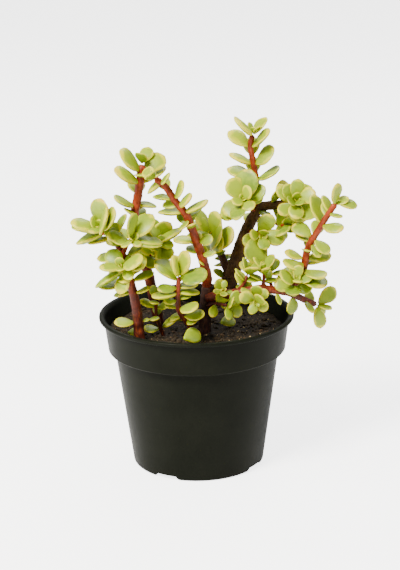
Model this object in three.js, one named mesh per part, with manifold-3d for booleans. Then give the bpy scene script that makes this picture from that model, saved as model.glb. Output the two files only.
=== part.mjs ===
// Elephant bush with cream-edged leaves, rooted in a round four-inch grower's pot.
// Millimetres, +Z up. The origin is the middle of the pot's underside, -Y is the front.
//
// The pot is one moulded shell, the soil is the block that fills it, and the bush is a set of
// shoots. Each main shoot is a bare stem, pairs of leaves clasping it, and a growing tip that
// carries its youngest leaves. Each short side shoot is a twig with its leaves. Neighbours keep a
// hair's breadth of clearance, so that every sub-part is a solid of its own.

import * as THREE from 'three';
import { mergeVertices } from 'three/addons/utils/BufferGeometryUtils.js';
import Module from 'manifold-3d';

const wasm = await Module();
wasm.setup();

// ---------------------------------------------------------------- driving dimensions

const CLEARANCE = 0.3;

const POT = {
  height: 86,
  lipRadius: 54,
  lipDepth: 2,
  bandTopRadius: 51.4,
  bandFootRadius: 49.2,
  bandFootHeight: 66.4,
  bodyTopRadius: 45.4,
  bodyTopHeight: 65.4,
  bodyFootRadius: 36.5,
  wall: 1.3,
  floor: 1.8,
  footRadius: 36.2,
  footWidth: 3,
  footHeight: 2.4,
  restRadius: 22,
  facets: 36,
};

const DRAIN = {
  count: 4,
  firstTurn: -30,
  notchWidth: 17,
  notchTopWidth: 12.5,
  holeWidth: 7,
  holeLength: 6,
  holeRadius: 29,
};

const SOIL = {
  level: 77,
  relief: 0.8,
  facets: 24,
  rings: [12, 24, 36, 45],
};

const LEAF = {
  width: 0.72,
  thickness: 0.18,
  neck: 0.5,
  curl: 0.05,
  sides: 6,
  rings: 4,
  smallRings: 3,
  smallLength: 12.5,
};

const STEM = { sides: 6, step: 6.5, twigStep: 5 };
const COLLAR = { wall: 1.2, depth: 2.2 };
const BUD = { swell: 0.9, sides: 6, rings: 3 };

// Leaves shorter than this are too slight to carry a shape of their own, and so are pairs out
// along a bare stem whose leaves are shorter, on the whole, than the second length.
const LEAST_LEAF = 10;
const LEAST_PAIR = 11;

// Leaves lean their upper faces towards the light that the bush was grown in.
const LIGHT = new THREE.Vector3(-0.1, -0.6, 0.8).normalize();
const UP = new THREE.Vector3(0, 0, 1);

// ---------------------------------------------------------------- the bush's habit

// A shoot's route runs from its foot to its growing point, and its girth is its thickness at
// those two ends. Each row of pairs is: how far up the shoot the pair sits, which way its first
// leaf points about the stem, how wide the pair opens, both leaves' lengths, and both leaves'
// twists (degrees and millimetres; the second leaf stands opposite the first). Past `tip`, a part
// of the shoot's length, stem and leaves are one young piece. `light` is how strongly the
// shoot's leaves turn to the light.
const SHOOTS = [
  {
    name: 'trunk',
    girth: [8, 6],
    tip: 1,
    light: 0.8,
    route: [[2, -7, 66], [4, -7, 77], [5, -7, 90], [6, -6, 104]],
    pairs: [],
  },
  {
    name: 'old_bough',
    girth: [10.4, 4.2],
    tip: 0.78,
    light: 1.5,
    route: [
      [6, -3, 94], [18, 3, 102], [22, 8, 111], [26, 14, 122], [31, 18, 133],
      [36, 19, 140], [43, 18, 142], [49, 19, 142], [53, 20, 141],
    ],
    pairs: [
      [0.2, -10, 80, 9, 8, 0, 0],
      [0.42, 80, 62, 11, 0, 0, 0],
      [0.62, 95, 55, 12, 0, 0, 0],
      [0.75, -60, 70, 9, 0, 0, 0],
      [0.86, 15, 60, 12, 11, 10, 0],
      [0.94, 180, 90, 12, 11, -10, 5],
      [0.97, -60, 85, 17, 16, -5, 25],
      [1, -120, 75, 17, 17, -60, 25],
      [1, 75, 20, 12, 9, -15, 0],
    ],
  },
  {
    name: 'tall_stem',
    girth: [3.8, 3],
    tip: 0.84,
    light: 0.5,
    route: [
      [33, 19, 135], [34, 19, 150], [34, 18, 156], [33, 17, 164], [31, 15, 176],
      [32, 14, 183],
    ],
    pairs: [
      [0.44, 160, 65, 16, 15, 5, -5],
      [0.5, 95, 60, 12, 0, 0, 0],
      [0.62, 165, 55, 14, 15, 15, 20],
      [0.72, 80, 55, 12, 0, 0, 0],
      [0.84, 160, 50, 14, 15, -10, 5],
      [0.99, -135, 50, 17, 12, -15, -20],
    ],
  },
  {
    name: 'face_rosette',
    girth: [2.6, 2],
    tip: 0,
    light: 0.8,
    route: [[33, 18, 139], [29, 10, 145], [27, 4, 149]],
    pairs: [
      [0.66, -170, 95, 15.7, 9, 15, 10],
      [0.8, 20, 75, 13.4, 13.4, 0, 0],
      [0.93, 65, 66, 16.8, 14.6, -10, 20],
      [1, 115, 60, 13.4, 10.1, 15, 0],
      [1, 30, 35, 10.1, 9, 0, 0],
    ],
  },
  {
    name: 'elbow_rosette',
    girth: [2.6, 2],
    tip: 0,
    light: 0.8,
    route: [[29, 15, 128], [34, 8, 129], [36, 3, 129]],
    pairs: [
      [0.55, 60, 80, 10.1, 10.1, 0, 0],
      [0.75, 88, 68, 13.4, 16.8, 0, 0],
      [0.9, 8, 60, 13.4, 9, 0, 0],
      [1, -70, 40, 9, 7.8, 0, 0],
    ],
  },
  {
    name: 'right_underspray',
    girth: [2.4, 1.8],
    tip: 0,
    light: 1.4,
    route: [[32, 19, 134], [40, 20, 134], [47, 16, 131], [51, 12, 132]],
    pairs: [
      [0.68, 100, 35, 15, 10, 50, 0],
      [0.89, -35, 30, 8, 13, 10, 15],
      [0.97, -120, 65, 14, 8, 60, 5],
    ],
  },
  {
    name: 'end_rosette',
    girth: [2.6, 2],
    tip: 0,
    light: 0.8,
    route: [[49, 19, 142], [53, 10, 145], [55, 4, 148]],
    pairs: [
      [0.5, -35, 80, 12, 12, 0, 0],
      [0.7, 50, 75, 13, 11, 0, 0],
      [0.88, -40, 68, 14, 11, 0, 0],
      [0.95, 95, 60, 12, 12, 0, 0],
      [1, 30, 48, 12, 9, 0, 0],
      [1, -60, 30, 8, 7, 0, 0],
    ],
  },
  {
    name: 'diagonal_stem',
    girth: [5.6, 3.3],
    tip: 0.8,
    light: 0.8,
    route: [
      [6, -6, 104], [6, -9, 110], [4, -13, 120], [0, -17, 134], [-5, -19, 148],
      [-10, -20, 155], [-16, -20, 164], [-21, -20, 168],
    ],
    pairs: [
      [0.19, -105, 35, 6, 9, -40, 0],
      [0.29, -40, 70, 9, 8, -5, 15],
      [0.35, 100, 70, 11, 0, 0, 0],
      [0.4, -25, 75, 9, 12, 30, 15],
      [0.53, 100, 60, 12, 9, 0, 0],
      [0.6, -115, 95, 9, 12, 25, 0],
      [0.66, -35, 80, 17, 15, -15, 25],
      [0.72, -50, 70, 14, 10, 15, 0],
      [0.79, -30, 65, 12, 11, 20, 20],
      [0.86, 95, 65, 10, 0, 0, 0],
      [0.94, -55, 85, 11, 15, 10, 0],
      [1, 100, 60, 10, 9, 0, 0],
    ],
  },
  {
    name: 'crossing_twig',
    girth: [5, 3.4],
    tip: 0.78,
    light: 1,
    route: [[19, 5, 104], [16, 10, 111], [13, 14, 118], [10, 14, 124], [9, 11, 127]],
    pairs: [
      [0.3, 100, 70, 11, 0, 0, 0],
      [0.51, -95, 95, 11, 11, -10, 0],
      [0.73, 20, 85, 11, 9, 5, -10],
      [0.88, -40, 65, 17, 15, 20, 20],
      [0.97, 115, 60, 17, 14, 50, 45],
      [1, 30, 30, 16, 11, 5, 0],
      [1, 125, 45, 11, 17, 30, 35],
    ],
  },
  {
    name: 'level_bough',
    girth: [5.6, 3.2],
    tip: 0.86,
    light: 1.5,
    route: [
      [6, -8, 97], [17, -12, 100], [29, -15, 103], [35, -15, 104], [41, -14, 103],
      [51, -11, 100], [60, -9, 95], [66, -8, 92],
    ],
    pairs: [
      [0.1, 150, 70, 8, 6, 0, 0],
      [0.3, 95, 70, 10, 0, 0, 0],
      [0.5, 80, 65, 11, 0, 0, 0],
      [0.6, 170, 60, 8, 7, 0, 0],
      [0.68, 100, 60, 9, 7, 0, 0],
      [0.77, 10, 70, 10, 8, 0, 0],
      [0.88, 120, 60, 10, 9, 0, 0],
      [1, -10, 60, 12, 13, 0, 0],
      [1, 80, 35, 9, 8, 0, 0],
    ],
  },
  {
    name: 'level_tuft_1',
    girth: [2, 1.6],
    tip: 0,
    light: 0.8,
    route: [[21, -13, 101], [26, -15, 107], [28, -14, 112]],
    pairs: [
      [0.4, 120, 70, 9, 8, 0, 0],
      [0.7, 20, 60, 9, 9, 0, 0],
      [1, 100, 60, 11, 12, 0, 0],
      [1, 10, 35, 9, 9, 0, 0],
    ],
  },
  {
    name: 'level_tuft_2',
    girth: [2, 1.6],
    tip: 0,
    light: 0.8,
    route: [[36, -15, 104], [37, -13, 109], [37, -12, 113]],
    pairs: [
      [0.4, 20, 70, 9, 9, 0, 0],
      [0.8, 100, 60, 9, 9, 0, 0],
      [1, 10, 35, 10, 9, 0, 0],
    ],
  },
  {
    name: 'level_tuft_3',
    girth: [2, 1.6],
    tip: 0,
    light: 0.8,
    route: [[42, -14, 103], [40, -9, 108], [41, -8, 111]],
    pairs: [
      [0.5, 90, 65, 9, 8, 0, 0],
      [0.9, 0, 60, 10, 8, 0, 0],
      [1, 80, 35, 9, 9, 0, 0],
    ],
  },
  {
    name: 'level_tuft_4',
    girth: [1.8, 1.6],
    tip: 0,
    light: 0.8,
    route: [[14, -11, 99], [15, -17, 104]],
    pairs: [
      [0.6, 0, 75, 5, 5, 0, 0],
      [1, 90, 60, 5, 5, 0, 0],
    ],
  },
  {
    name: 'level_tuft_5',
    girth: [2.2, 1.6],
    tip: 0,
    light: 0.8,
    route: [[32, -15, 103], [32, -24, 102], [32, -28, 101]],
    pairs: [
      [0.4, 10, 75, 7, 8, 0, 0],
      [0.7, 80, 70, 9, 8, 0, 0],
      [0.85, -35, 62, 8, 11, 0, 0],
      [1, 60, 50, 9, 7, 0, 0],
    ],
  },
  {
    name: 'fork_rosette',
    girth: [2.4, 1.8],
    tip: 0,
    light: 0.8,
    route: [[53, -10, 102], [53, -17, 106], [54, -20, 110]],
    pairs: [
      [0.3, -10, 75, 10, 10, 0, 0],
      [0.7, 80, 70, 10, 10, 0, 0],
      [0.9, 10, 62, 9, 11, 0, 0],
      [1, 90, 40, 8, 8, 0, 0],
    ],
  },
  {
    name: 'right_stem',
    girth: [4.4, 3],
    tip: 0.73,
    light: 0.8,
    route: [
      [50, -11, 101], [56, -8, 106], [59, -7, 113], [61, -8, 124], [67, -11, 136],
      [72, -13, 145], [76, -13, 151],
    ],
    pairs: [
      [0.17, 120, 80, 13, 9, -10, 0],
      [0.22, -50, 95, 17, 8, 0, -35],
      [0.26, -55, 90, 17, 8, 0, -25],
      [0.31, -135, 85, 15, 14, -5, -5],
      [0.36, -175, 75, 11, 13, 0, 10],
      [0.45, 80, 70, 8, 8, 0, 0],
      [0.53, 130, 95, 10, 9, 0, 0],
      [0.59, 145, 95, 13, 11, -15, 0],
      [0.6, 85, 65, 10, 0, 0, 0],
      [0.74, -50, 60, 14, 17, 20, 25],
      [0.82, 95, 60, 10, 0, 0, 0],
      [0.88, 120, 65, 11, 9, 25, 0],
      [0.97, -155, 30, 12, 8, -40, 0],
      [1, 10, 65, 11, 0, 15, 0],
    ],
  },
  {
    name: 'left_stem',
    girth: [6.6, 3.2],
    tip: 0.82,
    light: 0.8,
    route: [
      [-30, -20, 66], [-31, -20, 78], [-33, -21, 100], [-36, -20, 113], [-39, -19, 125],
      [-43, -17, 133], [-48, -14, 139],
    ],
    pairs: [
      [0.28, -170, 85, 11, 4.4, 0, 0],
      [0.5, 150, 85, 11, 9.9, 0, 0],
      [0.58, -170, 80, 16.5, 12.1, 0, 0],
      [0.62, -100, 85, 12.1, 11, 0, 0],
      [0.68, 80, 75, 12.1, 0, 0, 0],
      [0.75, 180, 70, 13.2, 12.1, 0, 0],
      [0.84, 100, 60, 13.2, 13.2, 0, 0],
      [0.92, 0, 65, 13.2, 13.2, 0, 0],
      [1, 100, 60, 13.2, 13.2, 0, 0],
    ],
  },
  {
    name: 'outer_rosette',
    girth: [2.6, 2],
    tip: 0,
    light: 0.8,
    route: [[-45, -16, 136], [-49, -22, 139], [-50, -25, 142]],
    pairs: [
      [0.57, 175, 95, 17.2, 9.2, 40, 0],
      [0.76, 155, 95, 17.2, 9.2, 35, -5],
      [0.96, 180, 45, 17.2, 17.5, 15, -5],
      [1, 65, 35, 17.2, 11.5, -20, 0],
      [1, -25, 25, 17.5, 9.2, 15, 10],
    ],
  },
  {
    name: 'mid_rosette',
    girth: [2.6, 2],
    tip: 0,
    light: 0.8,
    route: [[-39, -19, 126], [-36, -25, 134], [-34, -29, 137]],
    pairs: [
      [0.76, 5, 75, 16.8, 12.3, -40, 0],
      [0.9, 20, 90, 17.5, 9, -40, 15],
      [1, 65, 65, 16.8, 9, -30, 45],
      [1, 130, 45, 15.7, 7.8, 35, 0],
    ],
  },
  {
    name: 'low_rosette',
    girth: [2.6, 2],
    tip: 0,
    light: 0.8,
    route: [[-36, -20, 114], [-38, -28, 120], [-39, -31, 122]],
    pairs: [
      [0.6, -110, 95, 12.3, 9, 10, -20],
      [0.65, -165, 85, 17.5, 12.3, 50, 0],
      [0.8, 180, 95, 9, 10.1, 10, -20],
      [0.93, 120, 80, 12.3, 9, 5, 0],
      [1, -5, 50, 17.5, 12.3, -20, 30],
    ],
  },
  {
    name: 'back_stem',
    girth: [6.4, 4.4],
    tip: 0.88,
    light: 0.6,
    route: [
      [-21, 14, 63], [-22, 13, 81], [-24, 12, 92], [-26, 10, 104], [-28, 8, 112],
      [-31, 4, 127], [-33, 2, 142], [-31, 2, 152], [-29, 2, 164], [-28, 2, 170],
    ],
    pairs: [
      [0.5, -100, 85, 14.3, 13.2, 35, 0],
      [0.58, 95, 70, 12.1, 0, 0, 0],
      [0.62, 170, 75, 11, 0, 0, 0],
      [0.68, 75, 65, 13.2, 0, 0, 0],
      [0.75, -115, 70, 8.8, 8.8, -20, -25],
      [0.79, -140, 85, 14.3, 12.1, -10, -5],
      [0.84, 100, 70, 12.1, 0, 0, 0],
      [0.9, -145, 60, 17.5, 16.5, -25, -10],
      [0.95, -80, 80, 11, 12.1, 0, 0],
      [0.96, -155, 50, 17.5, 14.3, -25, 30],
      [1, 70, 40, 9.9, 8.8, 0, 0],
    ],
  },
  {
    name: 'inner_spray',
    girth: [2.6, 1.8],
    tip: 0,
    light: 0.8,
    route: [[-31, 4, 127], [-25, -2, 126], [-21, -6, 128]],
    pairs: [
      [0.45, 90, 70, 16.5, 12.1, 35, 0],
      [0.78, 60, 50, 17.5, 11, -65, 0],
      [0.99, 130, 90, 13.2, 9.9, 20, -20],
      [1, 20, 60, 8.8, 17.5, -5, 20],
    ],
  },
  {
    name: 'inner_spray_low',
    girth: [2.4, 1.8],
    tip: 0,
    light: 0.8,
    route: [[-28, 8, 112], [-26, -1, 119], [-24, -5, 122]],
    pairs: [
      [0.5, 10, 65, 11, 11, 0, 0],
      [0.8, 100, 60, 11, 10, 0, 0],
      [1, 10, 55, 12, 11, 0, 0],
    ],
  },
  {
    name: 'front_shoot',
    girth: [4, 2.4],
    tip: 0.74,
    light: 0.8,
    route: [[0, -17, 72], [-3, -20, 84], [-9, -25, 95], [-10, -26, 104], [-9, -26, 115]],
    pairs: [
      [0.4, 130, 80, 9, 8, 15, -10],
      [0.48, -25, 95, 12, 8, -10, 5],
      [0.6, -40, 75, 13, 8, 0, 5],
      [0.71, -140, 80, 8, 8, -15, 0],
      [0.8, 35, 95, 13, 15, -5, 15],
      [0.86, -145, 85, 12, 11, -15, -10],
      [0.95, -175, 60, 15, 12, 10, 0],
      [1, 145, 75, 16, 17, 5, 15],
      [1, -40, 20, 15, 11, 55, 0],
      [1, -115, 40, 15, 8, -65, -25],
    ],
  },
  {
    name: 'hidden_tuft',
    girth: [2.4, 1.8],
    tip: 0,
    light: 0.8,
    route: [[-17, -10, 72], [-22, -14, 91], [-21, -18, 101]],
    pairs: [
      [0.3, 10, 70, 10, 9, 0, 0],
      [0.55, 80, 65, 8, 9, 0, 0],
      [0.75, -10, 65, 8, 9, 0, 0],
      [0.9, 70, 60, 8, 8, 0, 0],
      [1, -20, 40, 8, 7, 0, 0],
    ],
  },
  {
    name: 'under_spray',
    girth: [2, 1.6],
    tip: 0,
    light: 0.8,
    route: [[6, -9, 93], [12, -16, 96], [17, -19, 96]],
    pairs: [
      [0.5, 80, 70, 9, 9, 0, 0],
      [1, 100, 60, 10, 9, 0, 0],
      [1, 10, 50, 9, 8, 0, 0],
    ],
  },
];

// Leaves that dropped and lie on the soil: where the stalk end lies, which way the leaf points,
// its length, and its tilt about its own length.
const FALLEN_LEAVES = [
  { foot: [-7, -34], heading: 45, length: 13, tilt: 50 },
  { foot: [-38, -15], heading: 10, length: 9, tilt: 25 },
  { foot: [13, -1], heading: 20, length: 9, tilt: 30 },
];

// ---------------------------------------------------------------- finishes

function finish(color, roughness) {
  return new THREE.MeshStandardMaterial({ color, roughness, metalness: 0 });
}

const potPlastic = () => finish('#2f322b', 0.45);
const pottingSoil = () => finish('#3a2a1d', 0.95);
const oldBark = () => finish('#5f4b33', 0.8);
const darkBark = () => finish('#4a2a1c', 0.7);
const redBark = () => finish('#a5462a', 0.5);
const leafFlesh = () => finish('#bfd070', 0.45);

function barkOf(name) {
  if (name === 'old_bough') return oldBark();
  if (name === 'trunk' || name === 'crossing_twig') return darkBark();
  return redBark();
}

// ---------------------------------------------------------------- closed solids

// Joins a geometry's shared corners and drops the slivers that collapse at poles and seams.
function toSolid(geometry) {
  geometry.deleteAttribute('normal');
  geometry.deleteAttribute('uv');
  const merged = mergeVertices(geometry, 1e-4);
  const corners = merged.index.array;
  const faces = [];
  for (let i = 0; i < corners.length; i += 3) {
    const [a, b, c] = corners.slice(i, i + 3);
    if (a !== b && b !== c && c !== a) faces.push(a, b, c);
  }
  return new wasm.Manifold(new wasm.Mesh({
    numProp: 3,
    vertProperties: new Float32Array(merged.attributes.position.array),
    triVerts: new Uint32Array(faces),
  }));
}

function toGeometry(solid) {
  const { vertProperties, triVerts } = solid.getMesh();
  const geometry = new THREE.BufferGeometry();
  geometry.setAttribute('position', new THREE.BufferAttribute(vertProperties, 3));
  geometry.setIndex(new THREE.BufferAttribute(triVerts, 1));
  geometry.computeVertexNormals();
  return geometry;
}

const joined = (solids) => solids.reduce((whole, next) => whole.add(next));

// The body left after a cut is its largest piece: crumbs that came loose are dropped.
function largestBody(solid) {
  const bodies = solid.decompose();
  return bodies.reduce((best, body) => (body.volume() > best.volume() ? body : best));
}

// ---------------------------------------------------------------- stems

const toVector = (point) => new THREE.Vector3(...point);

function routeOf(shoot) {
  return new THREE.CatmullRomCurve3(shoot.route.map(toVector), false, 'centripetal');
}

function radiusAt(shoot, at) {
  return THREE.MathUtils.lerp(shoot.girth[0], shoot.girth[1], at) / 2;
}

// A tapering length of stem between two places on its shoot, thickened by `extra` all round.
function stemSolid(shoot, from, to, extra) {
  const route = routeOf(shoot);
  const step = shoot.girth[0] < 3 ? STEM.twigStep : STEM.step;
  const steps = Math.max(2, Math.ceil((route.getLength() * (to - from)) / step));
  const places = Array.from({ length: steps + 1 }, (_, i) => (
    route.getPointAt(from + ((to - from) * i) / steps)));
  const spine = new THREE.CatmullRomCurve3(places, false, 'centripetal');
  const section = new THREE.Shape(Array.from({ length: STEM.sides }, (_, i) => {
    const turn = (2 * Math.PI * i) / STEM.sides;
    return new THREE.Vector2(Math.cos(turn), Math.sin(turn));
  }));
  const tube = new THREE.ExtrudeGeometry(section, { steps, bevelEnabled: false, extrudePath: spine });
  const centres = spine.getSpacedPoints(steps);
  const corners = tube.attributes.position;
  const corner = new THREE.Vector3();
  for (let i = 0; i < corners.count; i += 1) {
    corner.fromBufferAttribute(corners, i);
    const ring = nearest(centres, corner);
    const at = from + ((to - from) * ring) / steps;
    const lengthening = extra * (Number(ring === steps) - Number(ring === 0));
    corner.sub(centres[ring]).multiplyScalar(radiusAt(shoot, at) + extra).add(centres[ring]);
    corner.addScaledVector(spine.getTangentAt(ring / steps), lengthening);
    corners.setXYZ(i, corner.x, corner.y, corner.z);
  }
  return toSolid(tube);
}

function nearest(points, place) {
  let best = 0;
  points.forEach((point, i) => {
    if (point.distanceToSquared(place) < points[best].distanceToSquared(place)) best = i;
  });
  return best;
}

// ---------------------------------------------------------------- leaves

// A fleshy leaf: a narrow clasping foot, a broad rounded end, its upper face along +Z and its
// length along +Y. It is thickened by `extra` all round.
function leafSolid(length, extra) {
  const rings = length < LEAF.smallLength ? LEAF.smallRings : LEAF.rings;
  const leaf = new THREE.SphereGeometry(1, LEAF.sides, rings);
  const corners = leaf.attributes.position;
  for (let i = 0; i < corners.count; i += 1) {
    const along = (corners.getY(i) + 1) / 2;
    const fullness = LEAF.neck + (1.15 - LEAF.neck) * along;
    corners.setXYZ(
      i,
      corners.getX(i) * ((length * LEAF.width * fullness) / 2 + extra),
      along * (length + 2 * extra) - extra,
      corners.getZ(i) * ((length * LEAF.thickness) / 2 + extra) + LEAF.curl * length * along ** 2,
    );
  }
  return toSolid(leaf);
}

// Turns a leaf's upper face part of the way to the light, then twists it about its own length.
function faceTheLight(along, face, strength, twist) {
  const pull = LIGHT.clone().addScaledVector(along, -LIGHT.dot(along));
  const turned = face.clone().addScaledVector(pull, strength);
  turned.addScaledVector(along, -turned.dot(along)).normalize();
  return turned.applyAxisAngle(along, THREE.MathUtils.degToRad(twist));
}

function placedLeaf(foot, along, face, length, extra) {
  const side = along.clone().cross(face);
  const pose = new THREE.Matrix4().makeBasis(side, along, face).setPosition(foot);
  return leafSolid(length, extra).transform(pose.elements);
}

// Both leaves of one pair, the second standing opposite the first.
function leafPair(shoot, pair, extra) {
  const [at, turn, opening, firstLength, secondLength, firstTwist, secondTwist] = pair;
  const route = routeOf(shoot);
  const node = route.getPointAt(at);
  const stand = new THREE.Quaternion().setFromUnitVectors(UP, route.getTangentAt(at));
  const open = THREE.MathUtils.degToRad(opening);
  const leaves = [[turn, firstLength, firstTwist], [turn + 180, secondLength, secondTwist]];
  return leaves.filter(([, length]) => length >= LEAST_LEAF).map(([heading, length, twist]) => {
    const yaw = THREE.MathUtils.degToRad(heading);
    const outward = new THREE.Vector3(Math.cos(yaw), Math.sin(yaw), 0);
    const along = outward.clone().multiplyScalar(Math.sin(open)).addScaledVector(UP, Math.cos(open));
    const face = outward.clone().multiplyScalar(-Math.cos(open)).addScaledVector(UP, Math.sin(open));
    along.applyQuaternion(stand);
    const lit = faceTheLight(along, face.applyQuaternion(stand), shoot.light, twist);
    const foot = node.clone().addScaledVector(along, radiusAt(shoot, at) * 0.7);
    return placedLeaf(foot, along, lit, length, extra);
  });
}

// The clasping feet of a pair meet in a ring round the stem.
function collar(shoot, at, extra) {
  const half = COLLAR.depth / 2 / routeOf(shoot).getLength();
  return stemSolid(shoot, at - half, at + half, COLLAR.wall + extra);
}

// The bud at a shoot's growing point, which the last pairs of leaves sit on.
function budSolid(shoot, extra) {
  const bud = new THREE.SphereGeometry(radiusAt(shoot, 1) + BUD.swell + extra, BUD.sides, BUD.rings);
  const tip = routeOf(shoot).getPointAt(1);
  return toSolid(bud.translate(tip.x, tip.y, tip.z));
}

// ---------------------------------------------------------------- pieces of the bush

// Each piece is written as a function of `extra`, so that the same lines give the piece itself
// and the slightly larger shape that its neighbours stay out of.
function piecesOf(shoot) {
  const pieces = [];
  const length = routeOf(shoot).getLength();
  if (shoot.tip > 0) {
    const end = shoot.tip - (shoot.tip < 1 ? (2 * CLEARANCE) / length : 0);
    pieces.push({
      name: shoot.name,
      material: barkOf(shoot.name),
      shape: (extra) => stemSolid(shoot, 0, end, extra),
    });
  }
  if (shoot.tip < 1) {
    pieces.push({
      name: shoot.tip > 0 ? `${shoot.name}_tip` : shoot.name,
      material: leafFlesh(),
      shape: (extra) => joined([
        stemSolid(shoot, shoot.tip, 1, extra),
        budSolid(shoot, extra),
        ...shoot.pairs.filter(([at]) => at >= shoot.tip).flatMap((pair) => leafPair(shoot, pair, extra)),
      ]),
    });
  }
  const lower = shoot.pairs.filter(([at, , , one, other]) => (
    at < shoot.tip && (one + other) / 2 >= LEAST_PAIR));
  lower.forEach((pair, i) => pieces.push({
    name: `${shoot.name}_leaves_${i + 1}`,
    material: leafFlesh(),
    shape: (extra) => joined([...leafPair(shoot, pair, extra), collar(shoot, pair[0], extra)]),
  }));
  return pieces;
}

function fallenLeaf({ foot, heading, length, tilt }, i) {
  const yaw = THREE.MathUtils.degToRad(heading);
  const along = new THREE.Vector3(Math.cos(yaw), Math.sin(yaw), 0);
  const face = UP.clone().applyAxisAngle(along, THREE.MathUtils.degToRad(tilt));
  const edgeDrop = (length * LEAF.width * Math.abs(Math.sin(THREE.MathUtils.degToRad(tilt)))) / 2;
  const lift = SOIL.level + edgeDrop + length * LEAF.thickness * 0.4;
  const place = new THREE.Vector3(foot[0], foot[1], lift);
  return {
    name: `fallen_leaf_${i + 1}`,
    material: leafFlesh(),
    shape: (extra) => placedLeaf(place, along, face, length, extra),
  };
}

// ---------------------------------------------------------------- pot and soil

const lathed = (profile, facets) => (
  new THREE.LatheGeometry(profile.map(([r, z]) => new THREE.Vector2(r, z)), facets).rotateX(Math.PI / 2));

// The shell's section, from the middle of the underside out, up, over the lip and back inside.
function potProfile() {
  const { height, lipRadius, lipDepth, wall, floor, footHeight } = POT;
  const step = POT.bandFootHeight + wall;
  return [
    [0, 0], [POT.restRadius, 0], [POT.restRadius + 2, footHeight],
    [POT.footRadius - POT.footWidth - 0.7, footHeight], [POT.footRadius - POT.footWidth, 0],
    [POT.footRadius - 0.8, 0], [POT.bodyFootRadius, 1],
    [POT.bodyTopRadius, POT.bodyTopHeight], [POT.bandFootRadius, POT.bandFootHeight],
    [POT.bandTopRadius, height - lipDepth], [lipRadius - 0.4, height - lipDepth],
    [lipRadius, height - lipDepth + 0.4], [lipRadius, height - 0.4], [lipRadius - 0.4, height],
    [POT.bandTopRadius, height], [POT.bandTopRadius - wall, height - lipDepth],
    [POT.bandFootRadius - wall, step], [POT.bodyTopRadius - wall, POT.bodyTopHeight + wall],
    [POT.bodyFootRadius - wall, footHeight + floor + 1],
    [POT.bodyFootRadius - wall - 1, footHeight + floor],
    [POT.restRadius + 1, footHeight + floor], [POT.restRadius - 1, floor], [0, floor],
  ];
}

// A block standing on the underside, narrower at its top, that cuts one notch in the foot ring.
function notchCutter() {
  const half = DRAIN.notchWidth / 2;
  const top = DRAIN.notchTopWidth / 2;
  const face = new THREE.Shape([
    new THREE.Vector2(-half, -1), new THREE.Vector2(half, -1), new THREE.Vector2(half, 0),
    new THREE.Vector2(top, POT.footHeight), new THREE.Vector2(-top, POT.footHeight),
    new THREE.Vector2(-half, 0),
  ]);
  const block = new THREE.ExtrudeGeometry(face, { depth: 8, bevelEnabled: false });
  return block.rotateX(Math.PI / 2).translate(0, -POT.footRadius + 4.5, 0);
}

function holeCutter() {
  const hole = new THREE.BoxGeometry(DRAIN.holeWidth, DRAIN.holeLength, 12);
  return hole.translate(0, -DRAIN.holeRadius, 2);
}

function potShell() {
  const cutters = Array.from({ length: DRAIN.count }, (_, i) => {
    const turn = THREE.MathUtils.degToRad(DRAIN.firstTurn + (360 * i) / DRAIN.count);
    return [notchCutter(), holeCutter()].map((cutter) => toSolid(cutter.rotateZ(turn)));
  });
  const shell = toSolid(lathed(potProfile(), POT.facets));
  return cutters.flat().reduce((pot, cutter) => pot.subtract(cutter), shell);
}

// The ring of space that the pot's rim and band take up, which leaves keep out of.
function rimSpace() {
  const foot = POT.bandFootHeight - 8;
  const inner = POT.bodyTopRadius - POT.wall - CLEARANCE;
  const outer = POT.lipRadius + CLEARANCE;
  const top = POT.height + CLEARANCE;
  return toSolid(lathed([
    [inner, foot], [outer, foot], [outer, top], [POT.bandTopRadius - CLEARANCE, top],
    [POT.bandTopRadius - POT.wall - CLEARANCE, POT.height - POT.lipDepth],
    [POT.bandFootRadius - POT.wall - CLEARANCE, POT.bandFootHeight + POT.wall], [inner, foot],
  ], POT.facets));
}

// The soil's gentle rise and fall.
function soilRelief(x, y) {
  const swell = Math.sin(x * 0.11 + 0.6) * Math.cos(y * 0.09 - 0.4);
  const lumps = Math.sin(x * 0.31 - y * 0.17) * Math.sin(y * 0.27 + x * 0.06 + 1.1);
  return SOIL.relief * (swell + 0.6 * lumps);
}

function soilBlock() {
  const gap = CLEARANCE + 0.05;
  const ledge = POT.bandFootHeight + POT.wall + gap;
  const slope = (POT.bandTopRadius - POT.bandFootRadius) / (POT.height - POT.lipDepth - ledge);
  const brim = POT.bandFootRadius - POT.wall - gap + slope * (SOIL.level - 1.5 - ledge);
  const floor = POT.footHeight + POT.floor + gap;
  const top = [...SOIL.rings].reverse().map((r) => [r, SOIL.level]);
  const block = lathed([
    [0, floor], [POT.bodyFootRadius - POT.wall - 1 - gap, floor],
    [POT.bodyFootRadius - POT.wall - gap, floor + 1], [POT.bodyTopRadius - POT.wall - gap, ledge],
    [POT.bandFootRadius - POT.wall - gap, ledge], [brim, SOIL.level - 1.5], ...top, [0, SOIL.level],
  ], SOIL.facets);
  const corners = block.attributes.position;
  for (let i = 0; i < corners.count; i += 1) {
    if (corners.getZ(i) > SOIL.level - 1) {
      corners.setZ(i, SOIL.level + soilRelief(corners.getX(i), corners.getY(i)));
    }
  }
  return toSolid(block);
}

// ---------------------------------------------------------------- the whole

function meshOf(name, solid, material) {
  const mesh = new THREE.Mesh(toGeometry(solid), material);
  mesh.name = name;
  return mesh;
}

// Adds the pieces one by one, each trimmed back from all that stand before it.
function growBush(pieces, keepOut) {
  const bush = new THREE.Group();
  let taken = keepOut;
  for (const { name, material, shape } of pieces) {
    const body = largestBody(shape(0).subtract(taken));
    bush.add(meshOf(name, body, material));
    taken = taken.add(shape(CLEARANCE));
  }
  return { bush, taken };
}

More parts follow.
